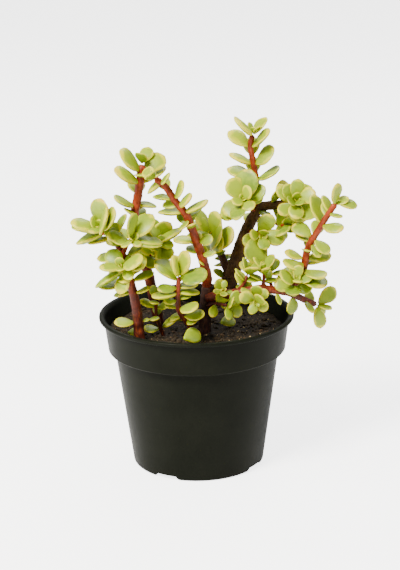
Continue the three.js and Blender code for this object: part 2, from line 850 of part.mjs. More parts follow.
function pottedBush() {
  const isStem = ({ name }) => SHOOTS.some((shoot) => shoot.name === name && shoot.tip > 0);
  const grown = SHOOTS.flatMap(piecesOf);
  const inOrder = [
    ...grown.filter(isStem), ...FALLEN_LEAVES.map(fallenLeaf), ...grown.filter((p) => !isStem(p))];
  const { bush, taken } = growBush(inOrder, rimSpace());
  const holder = new THREE.Group();
  holder.add(meshOf('pot', potShell(), potPlastic()));
  holder.add(meshOf('soil', largestBody(soilBlock().subtract(taken)), pottingSoil()));
  const whole = new THREE.Group();
  whole.add(holder, bush);
  return whole;
}

export default pottedBush();
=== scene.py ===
"""Potted elephant bush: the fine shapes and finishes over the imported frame.

The frame gives the pieces' places in metres, +Z up, with the origin in the middle of the pot's
underside. This script models the moulded pot, the crumbly potting soil, each shoot's bark and
each pair of fleshy, cream-edged leaves, and sets up a plain pale studio round them.
"""

import logging
import math
import random
from bisect import bisect
from collections.abc import Callable, Iterable, Sequence
from dataclasses import dataclass, field
from enum import Enum

import bmesh
import bpy
from mathutils import Matrix, Quaternion, Vector, noise


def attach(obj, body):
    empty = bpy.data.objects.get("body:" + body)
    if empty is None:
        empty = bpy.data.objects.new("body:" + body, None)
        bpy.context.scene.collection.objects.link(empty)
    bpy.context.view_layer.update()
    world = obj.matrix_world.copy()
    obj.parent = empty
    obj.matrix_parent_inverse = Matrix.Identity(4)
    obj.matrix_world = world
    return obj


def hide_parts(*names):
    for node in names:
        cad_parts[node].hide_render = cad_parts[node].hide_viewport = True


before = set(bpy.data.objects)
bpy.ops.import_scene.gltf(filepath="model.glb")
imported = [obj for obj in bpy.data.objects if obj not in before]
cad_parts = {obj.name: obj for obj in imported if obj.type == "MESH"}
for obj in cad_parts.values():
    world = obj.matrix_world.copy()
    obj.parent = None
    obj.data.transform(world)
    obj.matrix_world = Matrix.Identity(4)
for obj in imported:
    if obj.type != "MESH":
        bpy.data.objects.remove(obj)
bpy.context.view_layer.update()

LOG = logging.getLogger("elephant_bush")
MM = 0.001
BODY = "root"
SUNWARD = Vector((-0.1, -0.6, 0.8)).normalized()
UP = Vector((0.0, 0.0, 1.0))

Point = tuple[float, float, float]
Color = tuple[float, float, float, float]


# ---------------------------------------------------------------- the bush's habit


class Bark(Enum):
    """The kinds of bark on the bush."""

    OLD = "old_bark"
    DARK = "dark_bark"
    RED = "red_bark"


@dataclass(frozen=True)
class Habit:
    """How one shoot grows, in millimetres and degrees.

    The route runs from the shoot's foot to its growing point and the girth is its thickness at
    those ends. A row of pairs is: how far up the shoot the pair sits, which way its first leaf
    points about the stem, how wide the pair opens, both lengths and both twists. Past `tip`, a
    part of the length, stem and leaves are one young piece of the frame.
    """

    name: str
    bark: Bark
    girth: tuple[float, float]
    tip: float
    light: float
    route: tuple[Point, ...]
    pairs: tuple[tuple[float, ...], ...]


HABITS: tuple[Habit, ...] = (
    Habit(
        "trunk", Bark.DARK, girth=(8, 6), tip=1, light=0.8,
        route=(
            (2, -7, 66), (4, -7, 77), (5, -7, 90), (6, -6, 104),
        ),
        pairs=(),
    ),
    Habit(
        "old_bough", Bark.OLD, girth=(10.4, 4.2), tip=0.78, light=1.5,
        route=(
            (6, -3, 94), (18, 3, 102), (22, 8, 111), (26, 14, 122), (31, 18, 133), (36, 19, 140),
            (43, 18, 142), (49, 19, 142), (53, 20, 141),
        ),
        pairs=(
            (0.2, -10, 80, 9, 8, 0, 0), (0.42, 80, 62, 11, 0, 0, 0), (0.62, 95, 55, 12, 0, 0, 0),
            (0.75, -60, 70, 9, 0, 0, 0), (0.86, 15, 60, 12, 11, 10, 0),
            (0.94, 180, 90, 12, 11, -10, 5), (0.97, -60, 85, 17, 16, -5, 25),
            (1, -120, 75, 17, 17, -60, 25), (1, 75, 20, 12, 9, -15, 0),
        ),
    ),
    Habit(
        "tall_stem", Bark.RED, girth=(3.8, 3), tip=0.84, light=0.5,
        route=(
            (33, 19, 135), (34, 19, 150), (34, 18, 156), (33, 17, 164), (31, 15, 176), (32, 14, 183),
        ),
        pairs=(
            (0.44, 160, 65, 16, 15, 5, -5), (0.5, 95, 60, 12, 0, 0, 0),
            (0.62, 165, 55, 14, 15, 15, 20), (0.72, 80, 55, 12, 0, 0, 0),
            (0.84, 160, 50, 14, 15, -10, 5), (0.99, -135, 50, 17, 12, -15, -20),
        ),
    ),
    Habit(
        "face_rosette", Bark.RED, girth=(2.6, 2), tip=0, light=0.8,
        route=(
            (33, 18, 139), (29, 10, 145), (27, 4, 149),
        ),
        pairs=(
            (0.66, -170, 95, 15.7, 9, 15, 10), (0.8, 20, 75, 13.4, 13.4, 0, 0),
            (0.93, 65, 66, 16.8, 14.6, -10, 20), (1, 115, 60, 13.4, 10.1, 15, 0),
            (1, 30, 35, 10.1, 9, 0, 0),
        ),
    ),
    Habit(
        "elbow_rosette", Bark.RED, girth=(2.6, 2), tip=0, light=0.8,
        route=(
            (29, 15, 128), (34, 8, 129), (36, 3, 129),
        ),
        pairs=(
            (0.55, 60, 80, 10.1, 10.1, 0, 0), (0.75, 88, 68, 13.4, 16.8, 0, 0),
            (0.9, 8, 60, 13.4, 9, 0, 0), (1, -70, 40, 9, 7.8, 0, 0),
        ),
    ),
    Habit(
        "right_underspray", Bark.RED, girth=(2.4, 1.8), tip=0, light=1.4,
        route=(
            (32, 19, 134), (40, 20, 134), (47, 16, 131), (51, 12, 132),
        ),
        pairs=(
            (0.68, 100, 35, 15, 10, 50, 0), (0.89, -35, 30, 8, 13, 10, 15),
            (0.97, -120, 65, 14, 8, 60, 5),
        ),
    ),
    Habit(
        "end_rosette", Bark.RED, girth=(2.6, 2), tip=0, light=0.8,
        route=(
            (49, 19, 142), (53, 10, 145), (55, 4, 148),
        ),
        pairs=(
            (0.5, -35, 80, 12, 12, 0, 0), (0.7, 50, 75, 13, 11, 0, 0), (0.88, -40, 68, 14, 11, 0, 0),
            (0.95, 95, 60, 12, 12, 0, 0), (1, 30, 48, 12, 9, 0, 0), (1, -60, 30, 8, 7, 0, 0),
        ),
    ),
    Habit(
        "diagonal_stem", Bark.RED, girth=(5.6, 3.3), tip=0.8, light=0.8,
        route=(
            (6, -6, 104), (6, -9, 110), (4, -13, 120), (0, -17, 134), (-5, -19, 148), (-10, -20, 155),
            (-16, -20, 164), (-21, -20, 168),
        ),
        pairs=(
            (0.19, -105, 35, 6, 9, -40, 0), (0.29, -40, 70, 9, 8, -5, 15),
            (0.35, 100, 70, 11, 0, 0, 0), (0.4, -25, 75, 9, 12, 30, 15), (0.53, 100, 60, 12, 9, 0, 0),
            (0.6, -115, 95, 9, 12, 25, 0), (0.66, -35, 80, 17, 15, -15, 25),
            (0.72, -50, 70, 14, 10, 15, 0), (0.79, -30, 65, 12, 11, 20, 20),
            (0.86, 95, 65, 10, 0, 0, 0), (0.94, -55, 85, 11, 15, 10, 0), (1, 100, 60, 10, 9, 0, 0),
        ),
    ),
    Habit(
        "crossing_twig", Bark.DARK, girth=(5, 3.4), tip=0.78, light=1,
        route=(
            (19, 5, 104), (16, 10, 111), (13, 14, 118), (10, 14, 124), (9, 11, 127),
        ),
        pairs=(
            (0.3, 100, 70, 11, 0, 0, 0), (0.51, -95, 95, 11, 11, -10, 0),
            (0.73, 20, 85, 11, 9, 5, -10), (0.88, -40, 65, 17, 15, 20, 20),
            (0.97, 115, 60, 17, 14, 50, 45), (1, 30, 30, 16, 11, 5, 0), (1, 125, 45, 11, 17, 30, 35),
        ),
    ),
    Habit(
        "level_bough", Bark.RED, girth=(5.6, 3.2), tip=0.86, light=1.5,
        route=(
            (6, -8, 97), (17, -12, 100), (29, -15, 103), (35, -15, 104), (41, -14, 103),
            (51, -11, 100), (60, -9, 95), (66, -8, 92),
        ),
        pairs=(
            (0.1, 150, 70, 8, 6, 0, 0), (0.3, 95, 70, 10, 0, 0, 0), (0.5, 80, 65, 11, 0, 0, 0),
            (0.6, 170, 60, 8, 7, 0, 0), (0.68, 100, 60, 9, 7, 0, 0), (0.77, 10, 70, 10, 8, 0, 0),
            (0.88, 120, 60, 10, 9, 0, 0), (1, -10, 60, 12, 13, 0, 0), (1, 80, 35, 9, 8, 0, 0),
        ),
    ),
    Habit(
        "level_tuft_1", Bark.RED, girth=(2, 1.6), tip=0, light=0.8,
        route=(
            (21, -13, 101), (26, -15, 107), (28, -14, 112),
        ),
        pairs=(
            (0.4, 120, 70, 9, 8, 0, 0), (0.7, 20, 60, 9, 9, 0, 0), (1, 100, 60, 11, 12, 0, 0),
            (1, 10, 35, 9, 9, 0, 0),
        ),
    ),
    Habit(
        "level_tuft_2", Bark.RED, girth=(2, 1.6), tip=0, light=0.8,
        route=(
            (36, -15, 104), (37, -13, 109), (37, -12, 113),
        ),
        pairs=(
            (0.4, 20, 70, 9, 9, 0, 0), (0.8, 100, 60, 9, 9, 0, 0), (1, 10, 35, 10, 9, 0, 0),
        ),
    ),
    Habit(
        "level_tuft_3", Bark.RED, girth=(2, 1.6), tip=0, light=0.8,
        route=(
            (42, -14, 103), (40, -9, 108), (41, -8, 111),
        ),
        pairs=(
            (0.5, 90, 65, 9, 8, 0, 0), (0.9, 0, 60, 10, 8, 0, 0), (1, 80, 35, 9, 9, 0, 0),
        ),
    ),
    Habit(
        "level_tuft_4", Bark.RED, girth=(1.8, 1.6), tip=0, light=0.8,
        route=(
            (14, -11, 99), (15, -17, 104),
        ),
        pairs=(
            (0.6, 0, 75, 5, 5, 0, 0), (1, 90, 60, 5, 5, 0, 0),
        ),
    ),
    Habit(
        "level_tuft_5", Bark.RED, girth=(2.2, 1.6), tip=0, light=0.8,
        route=(
            (32, -15, 103), (32, -24, 102), (32, -28, 101),
        ),
        pairs=(
            (0.4, 10, 75, 7, 8, 0, 0), (0.7, 80, 70, 9, 8, 0, 0), (0.85, -35, 62, 8, 11, 0, 0),
            (1, 60, 50, 9, 7, 0, 0),
        ),
    ),
    Habit(
        "fork_rosette", Bark.RED, girth=(2.4, 1.8), tip=0, light=0.8,
        route=(
            (53, -10, 102), (53, -17, 106), (54, -20, 110),
        ),
        pairs=(
            (0.3, -10, 75, 10, 10, 0, 0), (0.7, 80, 70, 10, 10, 0, 0), (0.9, 10, 62, 9, 11, 0, 0),
            (1, 90, 40, 8, 8, 0, 0),
        ),
    ),
    Habit(
        "right_stem", Bark.RED, girth=(4.4, 3), tip=0.73, light=0.8,
        route=(
            (50, -11, 101), (56, -8, 106), (59, -7, 113), (61, -8, 124), (67, -11, 136),
            (72, -13, 145), (76, -13, 151),
        ),
        pairs=(
            (0.17, 120, 80, 13, 9, -10, 0), (0.22, -50, 95, 17, 8, 0, -35),
            (0.26, -55, 90, 17, 8, 0, -25), (0.31, -135, 85, 15, 14, -5, -5),
            (0.36, -175, 75, 11, 13, 0, 10), (0.45, 80, 70, 8, 8, 0, 0), (0.53, 130, 95, 10, 9, 0, 0),
            (0.59, 145, 95, 13, 11, -15, 0), (0.6, 85, 65, 10, 0, 0, 0),
            (0.74, -50, 60, 14, 17, 20, 25), (0.82, 95, 60, 10, 0, 0, 0),
            (0.88, 120, 65, 11, 9, 25, 0), (0.97, -155, 30, 12, 8, -40, 0), (1, 10, 65, 11, 0, 15, 0),
        ),
    ),
    Habit(
        "left_stem", Bark.RED, girth=(6.6, 3.2), tip=0.82, light=0.8,
        route=(
            (-30, -20, 66), (-31, -20, 78), (-33, -21, 100), (-36, -20, 113), (-39, -19, 125),
            (-43, -17, 133), (-48, -14, 139),
        ),
        pairs=(
            (0.28, -170, 85, 11, 4.4, 0, 0), (0.5, 150, 85, 11, 9.9, 0, 0),
            (0.58, -170, 80, 16.5, 12.1, 0, 0), (0.62, -100, 85, 12.1, 11, 0, 0),
            (0.68, 80, 75, 12.1, 0, 0, 0), (0.75, 180, 70, 13.2, 12.1, 0, 0),
            (0.84, 100, 60, 13.2, 13.2, 0, 0), (0.92, 0, 65, 13.2, 13.2, 0, 0),
            (1, 100, 60, 13.2, 13.2, 0, 0),
        ),
    ),
    Habit(
        "outer_rosette", Bark.RED, girth=(2.6, 2), tip=0, light=0.8,
        route=(
            (-45, -16, 136), (-49, -22, 139), (-50, -25, 142),
        ),
        pairs=(
            (0.57, 175, 95, 17.2, 9.2, 40, 0), (0.76, 155, 95, 17.2, 9.2, 35, -5),
            (0.96, 180, 45, 17.2, 17.5, 15, -5), (1, 65, 35, 17.2, 11.5, -20, 0),
            (1, -25, 25, 17.5, 9.2, 15, 10),
        ),
    ),
    Habit(
        "mid_rosette", Bark.RED, girth=(2.6, 2), tip=0, light=0.8,
        route=(
            (-39, -19, 126), (-36, -25, 134), (-34, -29, 137),
        ),
        pairs=(
            (0.76, 5, 75, 16.8, 12.3, -40, 0), (0.9, 20, 90, 17.5, 9, -40, 15),
            (1, 65, 65, 16.8, 9, -30, 45), (1, 130, 45, 15.7, 7.8, 35, 0),
        ),
    ),
    Habit(
        "low_rosette", Bark.RED, girth=(2.6, 2), tip=0, light=0.8,
        route=(
            (-36, -20, 114), (-38, -28, 120), (-39, -31, 122),
        ),
        pairs=(
            (0.6, -110, 95, 12.3, 9, 10, -20), (0.65, -165, 85, 17.5, 12.3, 50, 0),
            (0.8, 180, 95, 9, 10.1, 10, -20), (0.93, 120, 80, 12.3, 9, 5, 0),
            (1, -5, 50, 17.5, 12.3, -20, 30),
        ),
    ),
    Habit(
        "back_stem", Bark.RED, girth=(6.4, 4.4), tip=0.88, light=0.6,
        route=(
            (-21, 14, 63), (-22, 13, 81), (-24, 12, 92), (-26, 10, 104), (-28, 8, 112), (-31, 4, 127),
            (-33, 2, 142), (-31, 2, 152), (-29, 2, 164), (-28, 2, 170),
        ),
        pairs=(
            (0.5, -100, 85, 14.3, 13.2, 35, 0), (0.58, 95, 70, 12.1, 0, 0, 0),
            (0.62, 170, 75, 11, 0, 0, 0), (0.68, 75, 65, 13.2, 0, 0, 0),
            (0.75, -115, 70, 8.8, 8.8, -20, -25), (0.79, -140, 85, 14.3, 12.1, -10, -5),
            (0.84, 100, 70, 12.1, 0, 0, 0), (0.9, -145, 60, 17.5, 16.5, -25, -10),
            (0.95, -80, 80, 11, 12.1, 0, 0), (0.96, -155, 50, 17.5, 14.3, -25, 30),
            (1, 70, 40, 9.9, 8.8, 0, 0),
        ),
    ),
    Habit(
        "inner_spray", Bark.RED, girth=(2.6, 1.8), tip=0, light=0.8,
        route=(
            (-31, 4, 127), (-25, -2, 126), (-21, -6, 128),
        ),
        pairs=(
            (0.45, 90, 70, 16.5, 12.1, 35, 0), (0.78, 60, 50, 17.5, 11, -65, 0),
            (0.99, 130, 90, 13.2, 9.9, 20, -20), (1, 20, 60, 8.8, 17.5, -5, 20),
        ),
    ),
    Habit(
        "inner_spray_low", Bark.RED, girth=(2.4, 1.8), tip=0, light=0.8,
        route=(
            (-28, 8, 112), (-26, -1, 119), (-24, -5, 122),
        ),
        pairs=(
            (0.5, 10, 65, 11, 11, 0, 0), (0.8, 100, 60, 11, 10, 0, 0), (1, 10, 55, 12, 11, 0, 0),
        ),
    ),
    Habit(
        "front_shoot", Bark.RED, girth=(4, 2.4), tip=0.74, light=0.8,
        route=(
            (0, -17, 72), (-3, -20, 84), (-9, -25, 95), (-10, -26, 104), (-9, -26, 115),
        ),
        pairs=(
            (0.4, 130, 80, 9, 8, 15, -10), (0.48, -25, 95, 12, 8, -10, 5), (0.6, -40, 75, 13, 8, 0, 5),
            (0.71, -140, 80, 8, 8, -15, 0), (0.8, 35, 95, 13, 15, -5, 15),
            (0.86, -145, 85, 12, 11, -15, -10), (0.95, -175, 60, 15, 12, 10, 0),
            (1, 145, 75, 16, 17, 5, 15), (1, -40, 20, 15, 11, 55, 0), (1, -115, 40, 15, 8, -65, -25),
        ),
    ),
    Habit(
        "hidden_tuft", Bark.RED, girth=(2.4, 1.8), tip=0, light=0.8,
        route=(
            (-17, -10, 72), (-22, -14, 91), (-21, -18, 101),
        ),
        pairs=(
            (0.3, 10, 70, 10, 9, 0, 0), (0.55, 80, 65, 8, 9, 0, 0), (0.75, -10, 65, 8, 9, 0, 0),
            (0.9, 70, 60, 8, 8, 0, 0), (1, -20, 40, 8, 7, 0, 0),
        ),
    ),
    Habit(
        "under_spray", Bark.RED, girth=(2, 1.6), tip=0, light=0.8,
        route=(
            (6, -9, 93), (12, -16, 96), (17, -19, 96),
        ),
        pairs=(
            (0.5, 80, 70, 9, 9, 0, 0), (1, 100, 60, 10, 9, 0, 0), (1, 10, 50, 9, 8, 0, 0),
        ),
    ),
)


@dataclass(frozen=True)
class Fallen:
    """A leaf that dropped on the soil, in millimetres and degrees."""

    foot: tuple[float, float]
    heading: float
    length: float
    tilt: float


FALLEN_LEAVES: tuple[Fallen, ...] = (
    Fallen((-7, -34), 45, 13, 50),
    Fallen((-38, -15), 10, 9, 25),
    Fallen((13, -1), 20, 9, 30),
)
SOIL_LEVEL = 77.0
LEAST_PAIR = 11.0


# ---------------------------------------------------------------- modelling helpers


def deselect() -> None:
    """Leaves object mode with nothing selected."""
    if bpy.context.object and bpy.context.object.mode != "OBJECT":
        bpy.ops.object.mode_set(mode="OBJECT")
    bpy.ops.object.select_all(action="DESELECT")


def only(obj: bpy.types.Object) -> None:
    """Selects one object and makes it the active one."""
    deselect()
    obj.select_set(True)
    bpy.context.view_layer.objects.active = obj


def edit(obj: bpy.types.Object) -> None:
    """Opens an object in edit mode with nothing of its mesh selected."""
    only(obj)
    bpy.ops.object.mode_set(mode="EDIT")
    bpy.ops.mesh.select_mode(type="VERT")
    bpy.ops.mesh.select_all(action="DESELECT")


def pick(obj: bpy.types.Object, test: Callable[[Vector], bool]) -> int:
    """Selects the vertices of an object in edit mode whose place passes a test.

    Args:
        obj: The object that is being edited.
        test: Says of a vertex's place whether it is wanted.

    Returns:
        How many vertices are selected.
    """
    mesh = bmesh.from_edit_mesh(obj.data)
    for vertex in mesh.verts:
        vertex.select_set(test(vertex.co))
    mesh.select_flush(True)
    bmesh.update_edit_mesh(obj.data)
    return sum(vertex.select for vertex in mesh.verts)


def finish_shape(obj: bpy.types.Object, smooth: float = 180.0) -> bpy.types.Object:
    """Merges doubles, turns the faces outwards and smooths the shading.

    Args:
        obj: The object, in any mode.
        smooth: Edges sharper than this angle stay sharp, in degrees.

    Returns:
        The same object, in object mode.
    """
    edit(obj)
    bpy.ops.mesh.select_all(action="SELECT")
    bpy.ops.mesh.remove_doubles(threshold=1e-6)
    bpy.ops.mesh.normals_make_consistent(inside=False)
    bpy.ops.object.mode_set(mode="OBJECT")
    if smooth >= 180.0:
        bpy.ops.object.shade_smooth()
    else:
        bpy.ops.object.shade_smooth_by_angle(angle=math.radians(smooth))
    return obj


def apply_modifier(obj: bpy.types.Object, kind: str, **settings: object) -> None:
    """Adds one modifier to an object and applies it.

    Args:
        obj: The object to change.
        kind: The modifier's type, such as BEVEL.
        **settings: Its settings by name.
    """
    only(obj)
    modifier = obj.modifiers.new(kind.lower(), kind)
    for name, value in settings.items():
        setattr(modifier, name, value)
    bpy.ops.object.modifier_apply(modifier=modifier.name)


def copy_of(obj: bpy.types.Object, name: str) -> bpy.types.Object:
    """A copy of an object with a mesh of its own."""
    twin = obj.copy()
    twin.data = obj.data.copy()
    twin.name = name
    twin.data.name = name
    bpy.context.scene.collection.objects.link(twin)
    return twin


def join(parts: Sequence[bpy.types.Object], name: str) -> bpy.types.Object:
    """Joins objects into one named piece.

    Args:
        parts: The objects, all at the origin.
        name: The piece's name.

    Returns:
        The joined piece.
    """
    only(parts[0])
    for part in parts:
        part.select_set(True)
    if len(parts) > 1:
        bpy.ops.object.join()
    piece = bpy.context.view_layer.objects.active
    piece.name = name
    piece.data.name = name
    return piece


def dress(piece: bpy.types.Object, material: bpy.types.Material) -> None:
    """Gives a piece one material."""
    piece.data.materials.clear()
    piece.data.materials.append(material)


def settle(piece: bpy.types.Object, stands_for: Iterable[str] = ()) -> None:
    """Ties a finished piece to the frame and reports it.

    Args:
        piece: The finished piece, at the origin.
        stands_for: The frame's nodes that it replaces.
    """
    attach(piece, BODY)
    nodes = [node for node in stands_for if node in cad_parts]
    if nodes:
        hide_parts(*nodes)
    LOG.info("%s: %d faces, stands for %s", piece.name, len(piece.data.polygons), nodes or "nothing")


class Ladder:
    """A tube that is built up ring by ring round the Z axis, as an extruded circle."""

    def __init__(self, name: str, radius: float, height: float, sides: int, filled: bool) -> None:
        """Starts the tube with one circle.

        Args:
            name: The object's name.
            radius: The first ring's radius, in metres.
            height: The first ring's height, in metres.
            sides: How many sides the tube has.
            filled: Whether the first ring is closed by a face.
        """
        deselect()
        bpy.ops.mesh.primitive_circle_add(
            vertices=sides, radius=radius, fill_type="TRIFAN" if filled else "NOTHING",
            location=(0.0, 0.0, height))
        self.obj = bpy.context.object
        self.obj.name = name
        bpy.ops.object.transform_apply(location=True)
        edit(self.obj)
        self.radius, self.height = radius, height
        pick(self.obj, lambda place: place.xy.length > radius * 0.5)

    def step(self, radius: float, height: float) -> None:
        """Extrudes the last ring to a new radius and height, both in metres."""
        bpy.ops.mesh.extrude_region_move(
            TRANSFORM_OT_translate={"value": (0.0, 0.0, height - self.height)})
        factor = radius / self.radius
        bpy.ops.transform.resize(value=(factor, factor, 1.0), center_override=(0.0, 0.0, height))
        self.radius, self.height = radius, height

    def close(self) -> bpy.types.Object:
        """Draws the last ring together into a point and returns the object."""
        bpy.ops.mesh.merge(type="CENTER")
        bpy.ops.object.mode_set(mode="OBJECT")
        return self.obj


# ---------------------------------------------------------------- shaders


class NodeTree:
    """A node tree with short calls that add, set and link its nodes."""

    def __init__(self, tree: bpy.types.NodeTree) -> None:
        """Wraps a tree."""
        self.tree = tree

    def add(self, kind: str, **settings: object) -> bpy.types.Node:
        """Adds a node of a kind, such as TexNoise, and sets its properties."""
        node = self.tree.nodes.new(f"ShaderNode{kind}")
        for name, value in settings.items():
            setattr(node, name, value)
        return node

    def feed(self, source: object, target: bpy.types.NodeSocket) -> None:
        """Links a socket to an input, or sets the input's own value."""
        if isinstance(source, bpy.types.NodeSocket):
            self.tree.links.new(source, target)
        else:
            target.default_value = source

    def math(self, operation: str, *values: object, clamp: bool = False) -> bpy.types.NodeSocket:
        """A Math node on numbers or sockets."""
        node = self.add("Math", operation=operation, use_clamp=clamp)
        for socket, value in zip(node.inputs, values):
            self.feed(value, socket)
        return node.outputs[0]

    def blend(self, factor: object, low: object, high: object, mode: str = "MIX") -> bpy.types.NodeSocket:
        """A colour mix of low and high by a factor."""
        node = self.add("Mix", data_type="RGBA", blend_type=mode, clamp_factor=True)
        self.feed(factor, node.inputs[0])
        self.feed(low, node.inputs[6])
        self.feed(high, node.inputs[7])
        return node.outputs[2]

    def span(self, value: object, low: float, high: float, to_low: float = 0.0,
             to_high: float = 1.0) -> bpy.types.NodeSocket:
        """A smooth map of a value from one span to another.

        Args:
            value: The number or socket to map.
            low: The value that gives to_low.
            high: The value that gives to_high.
            to_low: The result at low and below.
            to_high: The result at high and above.

        Returns:
            The mapped value's socket.
        """
        node = self.add("MapRange", interpolation_type="SMOOTHSTEP")
        for socket, number in zip(node.inputs, (value, low, high, to_low, to_high)):
            self.feed(number, socket)
        return node.outputs[0]

    def noise(self, place: bpy.types.NodeSocket, scale: object, detail: float = 2.0,
              rough: float = 0.5) -> bpy.types.NodeSocket:
        """A noise value at a place; the scale is in turns per metre."""
        node = self.add("TexNoise", noise_dimensions="3D")
        self.feed(place, node.inputs["Vector"])
        self.feed(scale, node.inputs["Scale"])
        self.feed(detail, node.inputs["Detail"])
        self.feed(rough, node.inputs["Roughness"])
        return node.outputs["Fac"]

    def place(self) -> bpy.types.NodeSocket:
        """The piece's own coordinates, in metres."""
        return self.add("TexCoord").outputs["Object"]

    def stretched(self, place: bpy.types.NodeSocket, factors: Point) -> bpy.types.NodeSocket:
        """Coordinates scaled axis by axis."""
        node = self.add("Mapping")
        self.feed(place, node.inputs["Vector"])
        self.feed(factors, node.inputs["Scale"])
        return node.outputs["Vector"]

    def group(self, tree: bpy.types.NodeTree, **values: object) -> bpy.types.Node:
        """Places a node group, with its inputs given by name (underscores for spaces)."""
        node = self.add("Group", node_tree=tree)
        for name, value in values.items():
            self.feed(value, node.inputs[name.replace("_", " ")])
        return node


def new_group(name: str, inputs: dict[str, tuple[str, object]],
              outputs: dict[str, str]) -> tuple[bpy.types.NodeTree, NodeTree, dict, dict]:
    """Starts a shader node group.

    Args:
        name: The group's name.
        inputs: Each input's socket type and default, by name.
        outputs: Each output's socket type, by name.

    Returns:
        The group, its wrapper, its input sockets by name and its output sockets by name.
    """
    tree = bpy.data.node_groups.new(name, "ShaderNodeTree")
    for title, (kind, default) in inputs.items():
        socket = tree.interface.new_socket(name=title, in_out="INPUT", socket_type=f"NodeSocket{kind}")
        if default is not None:
            socket.default_value = default
    for title, kind in outputs.items():
        tree.interface.new_socket(name=title, in_out="OUTPUT", socket_type=f"NodeSocket{kind}")
    wrapped = NodeTree(tree)
    source = tree.nodes.new("NodeGroupInput")
    sink = tree.nodes.new("NodeGroupOutput")
    return (tree, wrapped, {title: source.outputs[title] for title in inputs},
            {title: sink.inputs[title] for title in outputs})


def mottle_group() -> bpy.types.NodeTree:
    """Soft blotches in two sizes: a mask that varies slowly over a surface."""
    tree, nodes, given, made = new_group(
        "mottle",
        {"Place": ("Vector", None), "Scale": ("Float", 100.0), "Contrast": ("Float", 1.0)},
        {"Mask": "Float"})
    broad = nodes.noise(given["Place"], given["Scale"], 1.0)
    fine = nodes.noise(given["Place"], nodes.math("MULTIPLY", given["Scale"], 3.7), 2.0)
    both = nodes.math("ADD", nodes.math("MULTIPLY", broad, 0.65), nodes.math("MULTIPLY", fine, 0.35))
    centred = nodes.math("MULTIPLY", nodes.math("SUBTRACT", both, 0.5), given["Contrast"])
    nodes.feed(nodes.math("ADD", centred, 0.5, clamp=True), made["Mask"])
    return tree


def grain_group() -> bpy.types.NodeTree:
    """Fine relief for a bump, and a roughness that wanders with it."""
    tree, nodes, given, made = new_group(
        "grain",
        {"Place": ("Vector", None), "Scale": ("Float", 800.0), "Coarseness": ("Float", 0.5),
         "Roughness": ("Float", 0.5), "Wander": ("Float", 0.1)},
        {"Height": "Float", "Roughness": "Float"})
    fine = nodes.noise(given["Place"], given["Scale"], 3.0, given["Coarseness"])
    broad = nodes.noise(given["Place"], nodes.math("MULTIPLY", given["Scale"], 0.12), 2.0)
    nodes.feed(fine, made["Height"])
    shift = nodes.math("MULTIPLY", nodes.math("SUBTRACT", broad, 0.5), given["Wander"])
    nodes.feed(nodes.math("ADD", given["Roughness"], shift, clamp=True), made["Roughness"])
    return tree


MOTTLE = mottle_group()
GRAIN = grain_group()


class Skin:
    """A material under construction: its nodes, its Principled shader and its own coordinates."""

    def __init__(self, name: str) -> None:
        """Starts the material with a bare Principled shader."""
        self.material = bpy.data.materials.new(name)
        self.material.use_nodes = True
        self.nodes = NodeTree(self.material.node_tree)
        self.shader = self.material.node_tree.nodes["Principled BSDF"]
        self.place = self.nodes.place()

    def set(self, **values: object) -> None:
        """Sets or links the shader's inputs by name, with underscores for spaces."""
        for name, value in values.items():
            self.nodes.feed(value, self.shader.inputs[name.replace("_", " ")])

    def mottle(self, scale: float, contrast: float) -> bpy.types.NodeSocket:
        """A mask of soft blotches."""
        return self.nodes.group(MOTTLE, Place=self.place, Scale=scale, Contrast=contrast).outputs["Mask"]

    def grain(self, scale: float, roughness: float, wander: float, depth: float,
              coarseness: float = 0.5, place: bpy.types.NodeSocket | None = None) -> None:
        """Roughens the surface.

        Args:
            scale: The grain's scale, in turns per metre.
            roughness: The middle roughness.
            wander: How far the roughness strays.
            depth: The relief's depth, in metres.
            coarseness: How jagged the grain is.
            place: Coordinates other than the piece's own.
        """
        grain = self.nodes.group(
            GRAIN, Place=place or self.place, Scale=scale, Coarseness=coarseness,
            Roughness=roughness, Wander=wander)
        self.set(Roughness=grain.outputs["Roughness"])
        bump = self.nodes.add("Bump")
        bump.inputs["Strength"].default_value = 1.0
        bump.inputs["Distance"].default_value = depth
        self.nodes.feed(grain.outputs["Height"], bump.inputs["Height"])
        self.set(Normal=bump.outputs["Normal"])


@dataclass(frozen=True)
class PotPlastic:
    """Thin, nearly black moulded plastic with a satin sheen and a little dust."""

    tone: Color = (0.0040, 0.0047, 0.0026, 1.0)
    dusty: Color = (0.0080, 0.0088, 0.0055, 1.0)

    def material(self) -> bpy.types.Material:
        """Builds the material."""
        skin = Skin("pot_plastic")
        skin.set(Base_Color=skin.nodes.blend(skin.mottle(45.0, 1.6), self.tone, self.dusty))
        skin.set(Specular_IOR_Level=0.05)
        skin.grain(scale=1400.0, roughness=0.38, wander=0.16, depth=0.00005)
        return skin.material


@dataclass(frozen=True)
class PottingSoil:
    """Damp, dark potting soil with paler specks."""

    damp: Color = (0.006, 0.0042, 0.0022, 1.0)
    dry: Color = (0.030, 0.019, 0.009, 1.0)
    speck: Color = (0.22, 0.15, 0.070, 1.0)

    def material(self) -> bpy.types.Material:
        """Builds the material."""
        skin = Skin("potting_soil")
        nodes = skin.nodes
        base = nodes.blend(skin.mottle(180.0, 2.4), self.damp, self.dry)
        specks = nodes.span(nodes.noise(skin.place, 1500.0, 1.0), 0.66, 0.74)
        skin.set(Base_Color=nodes.blend(specks, base, self.speck))
        skin.set(Specular_IOR_Level=0.2)
        skin.grain(scale=900.0, roughness=0.88, wander=0.2, depth=0.0009, coarseness=0.75)
        return skin.material


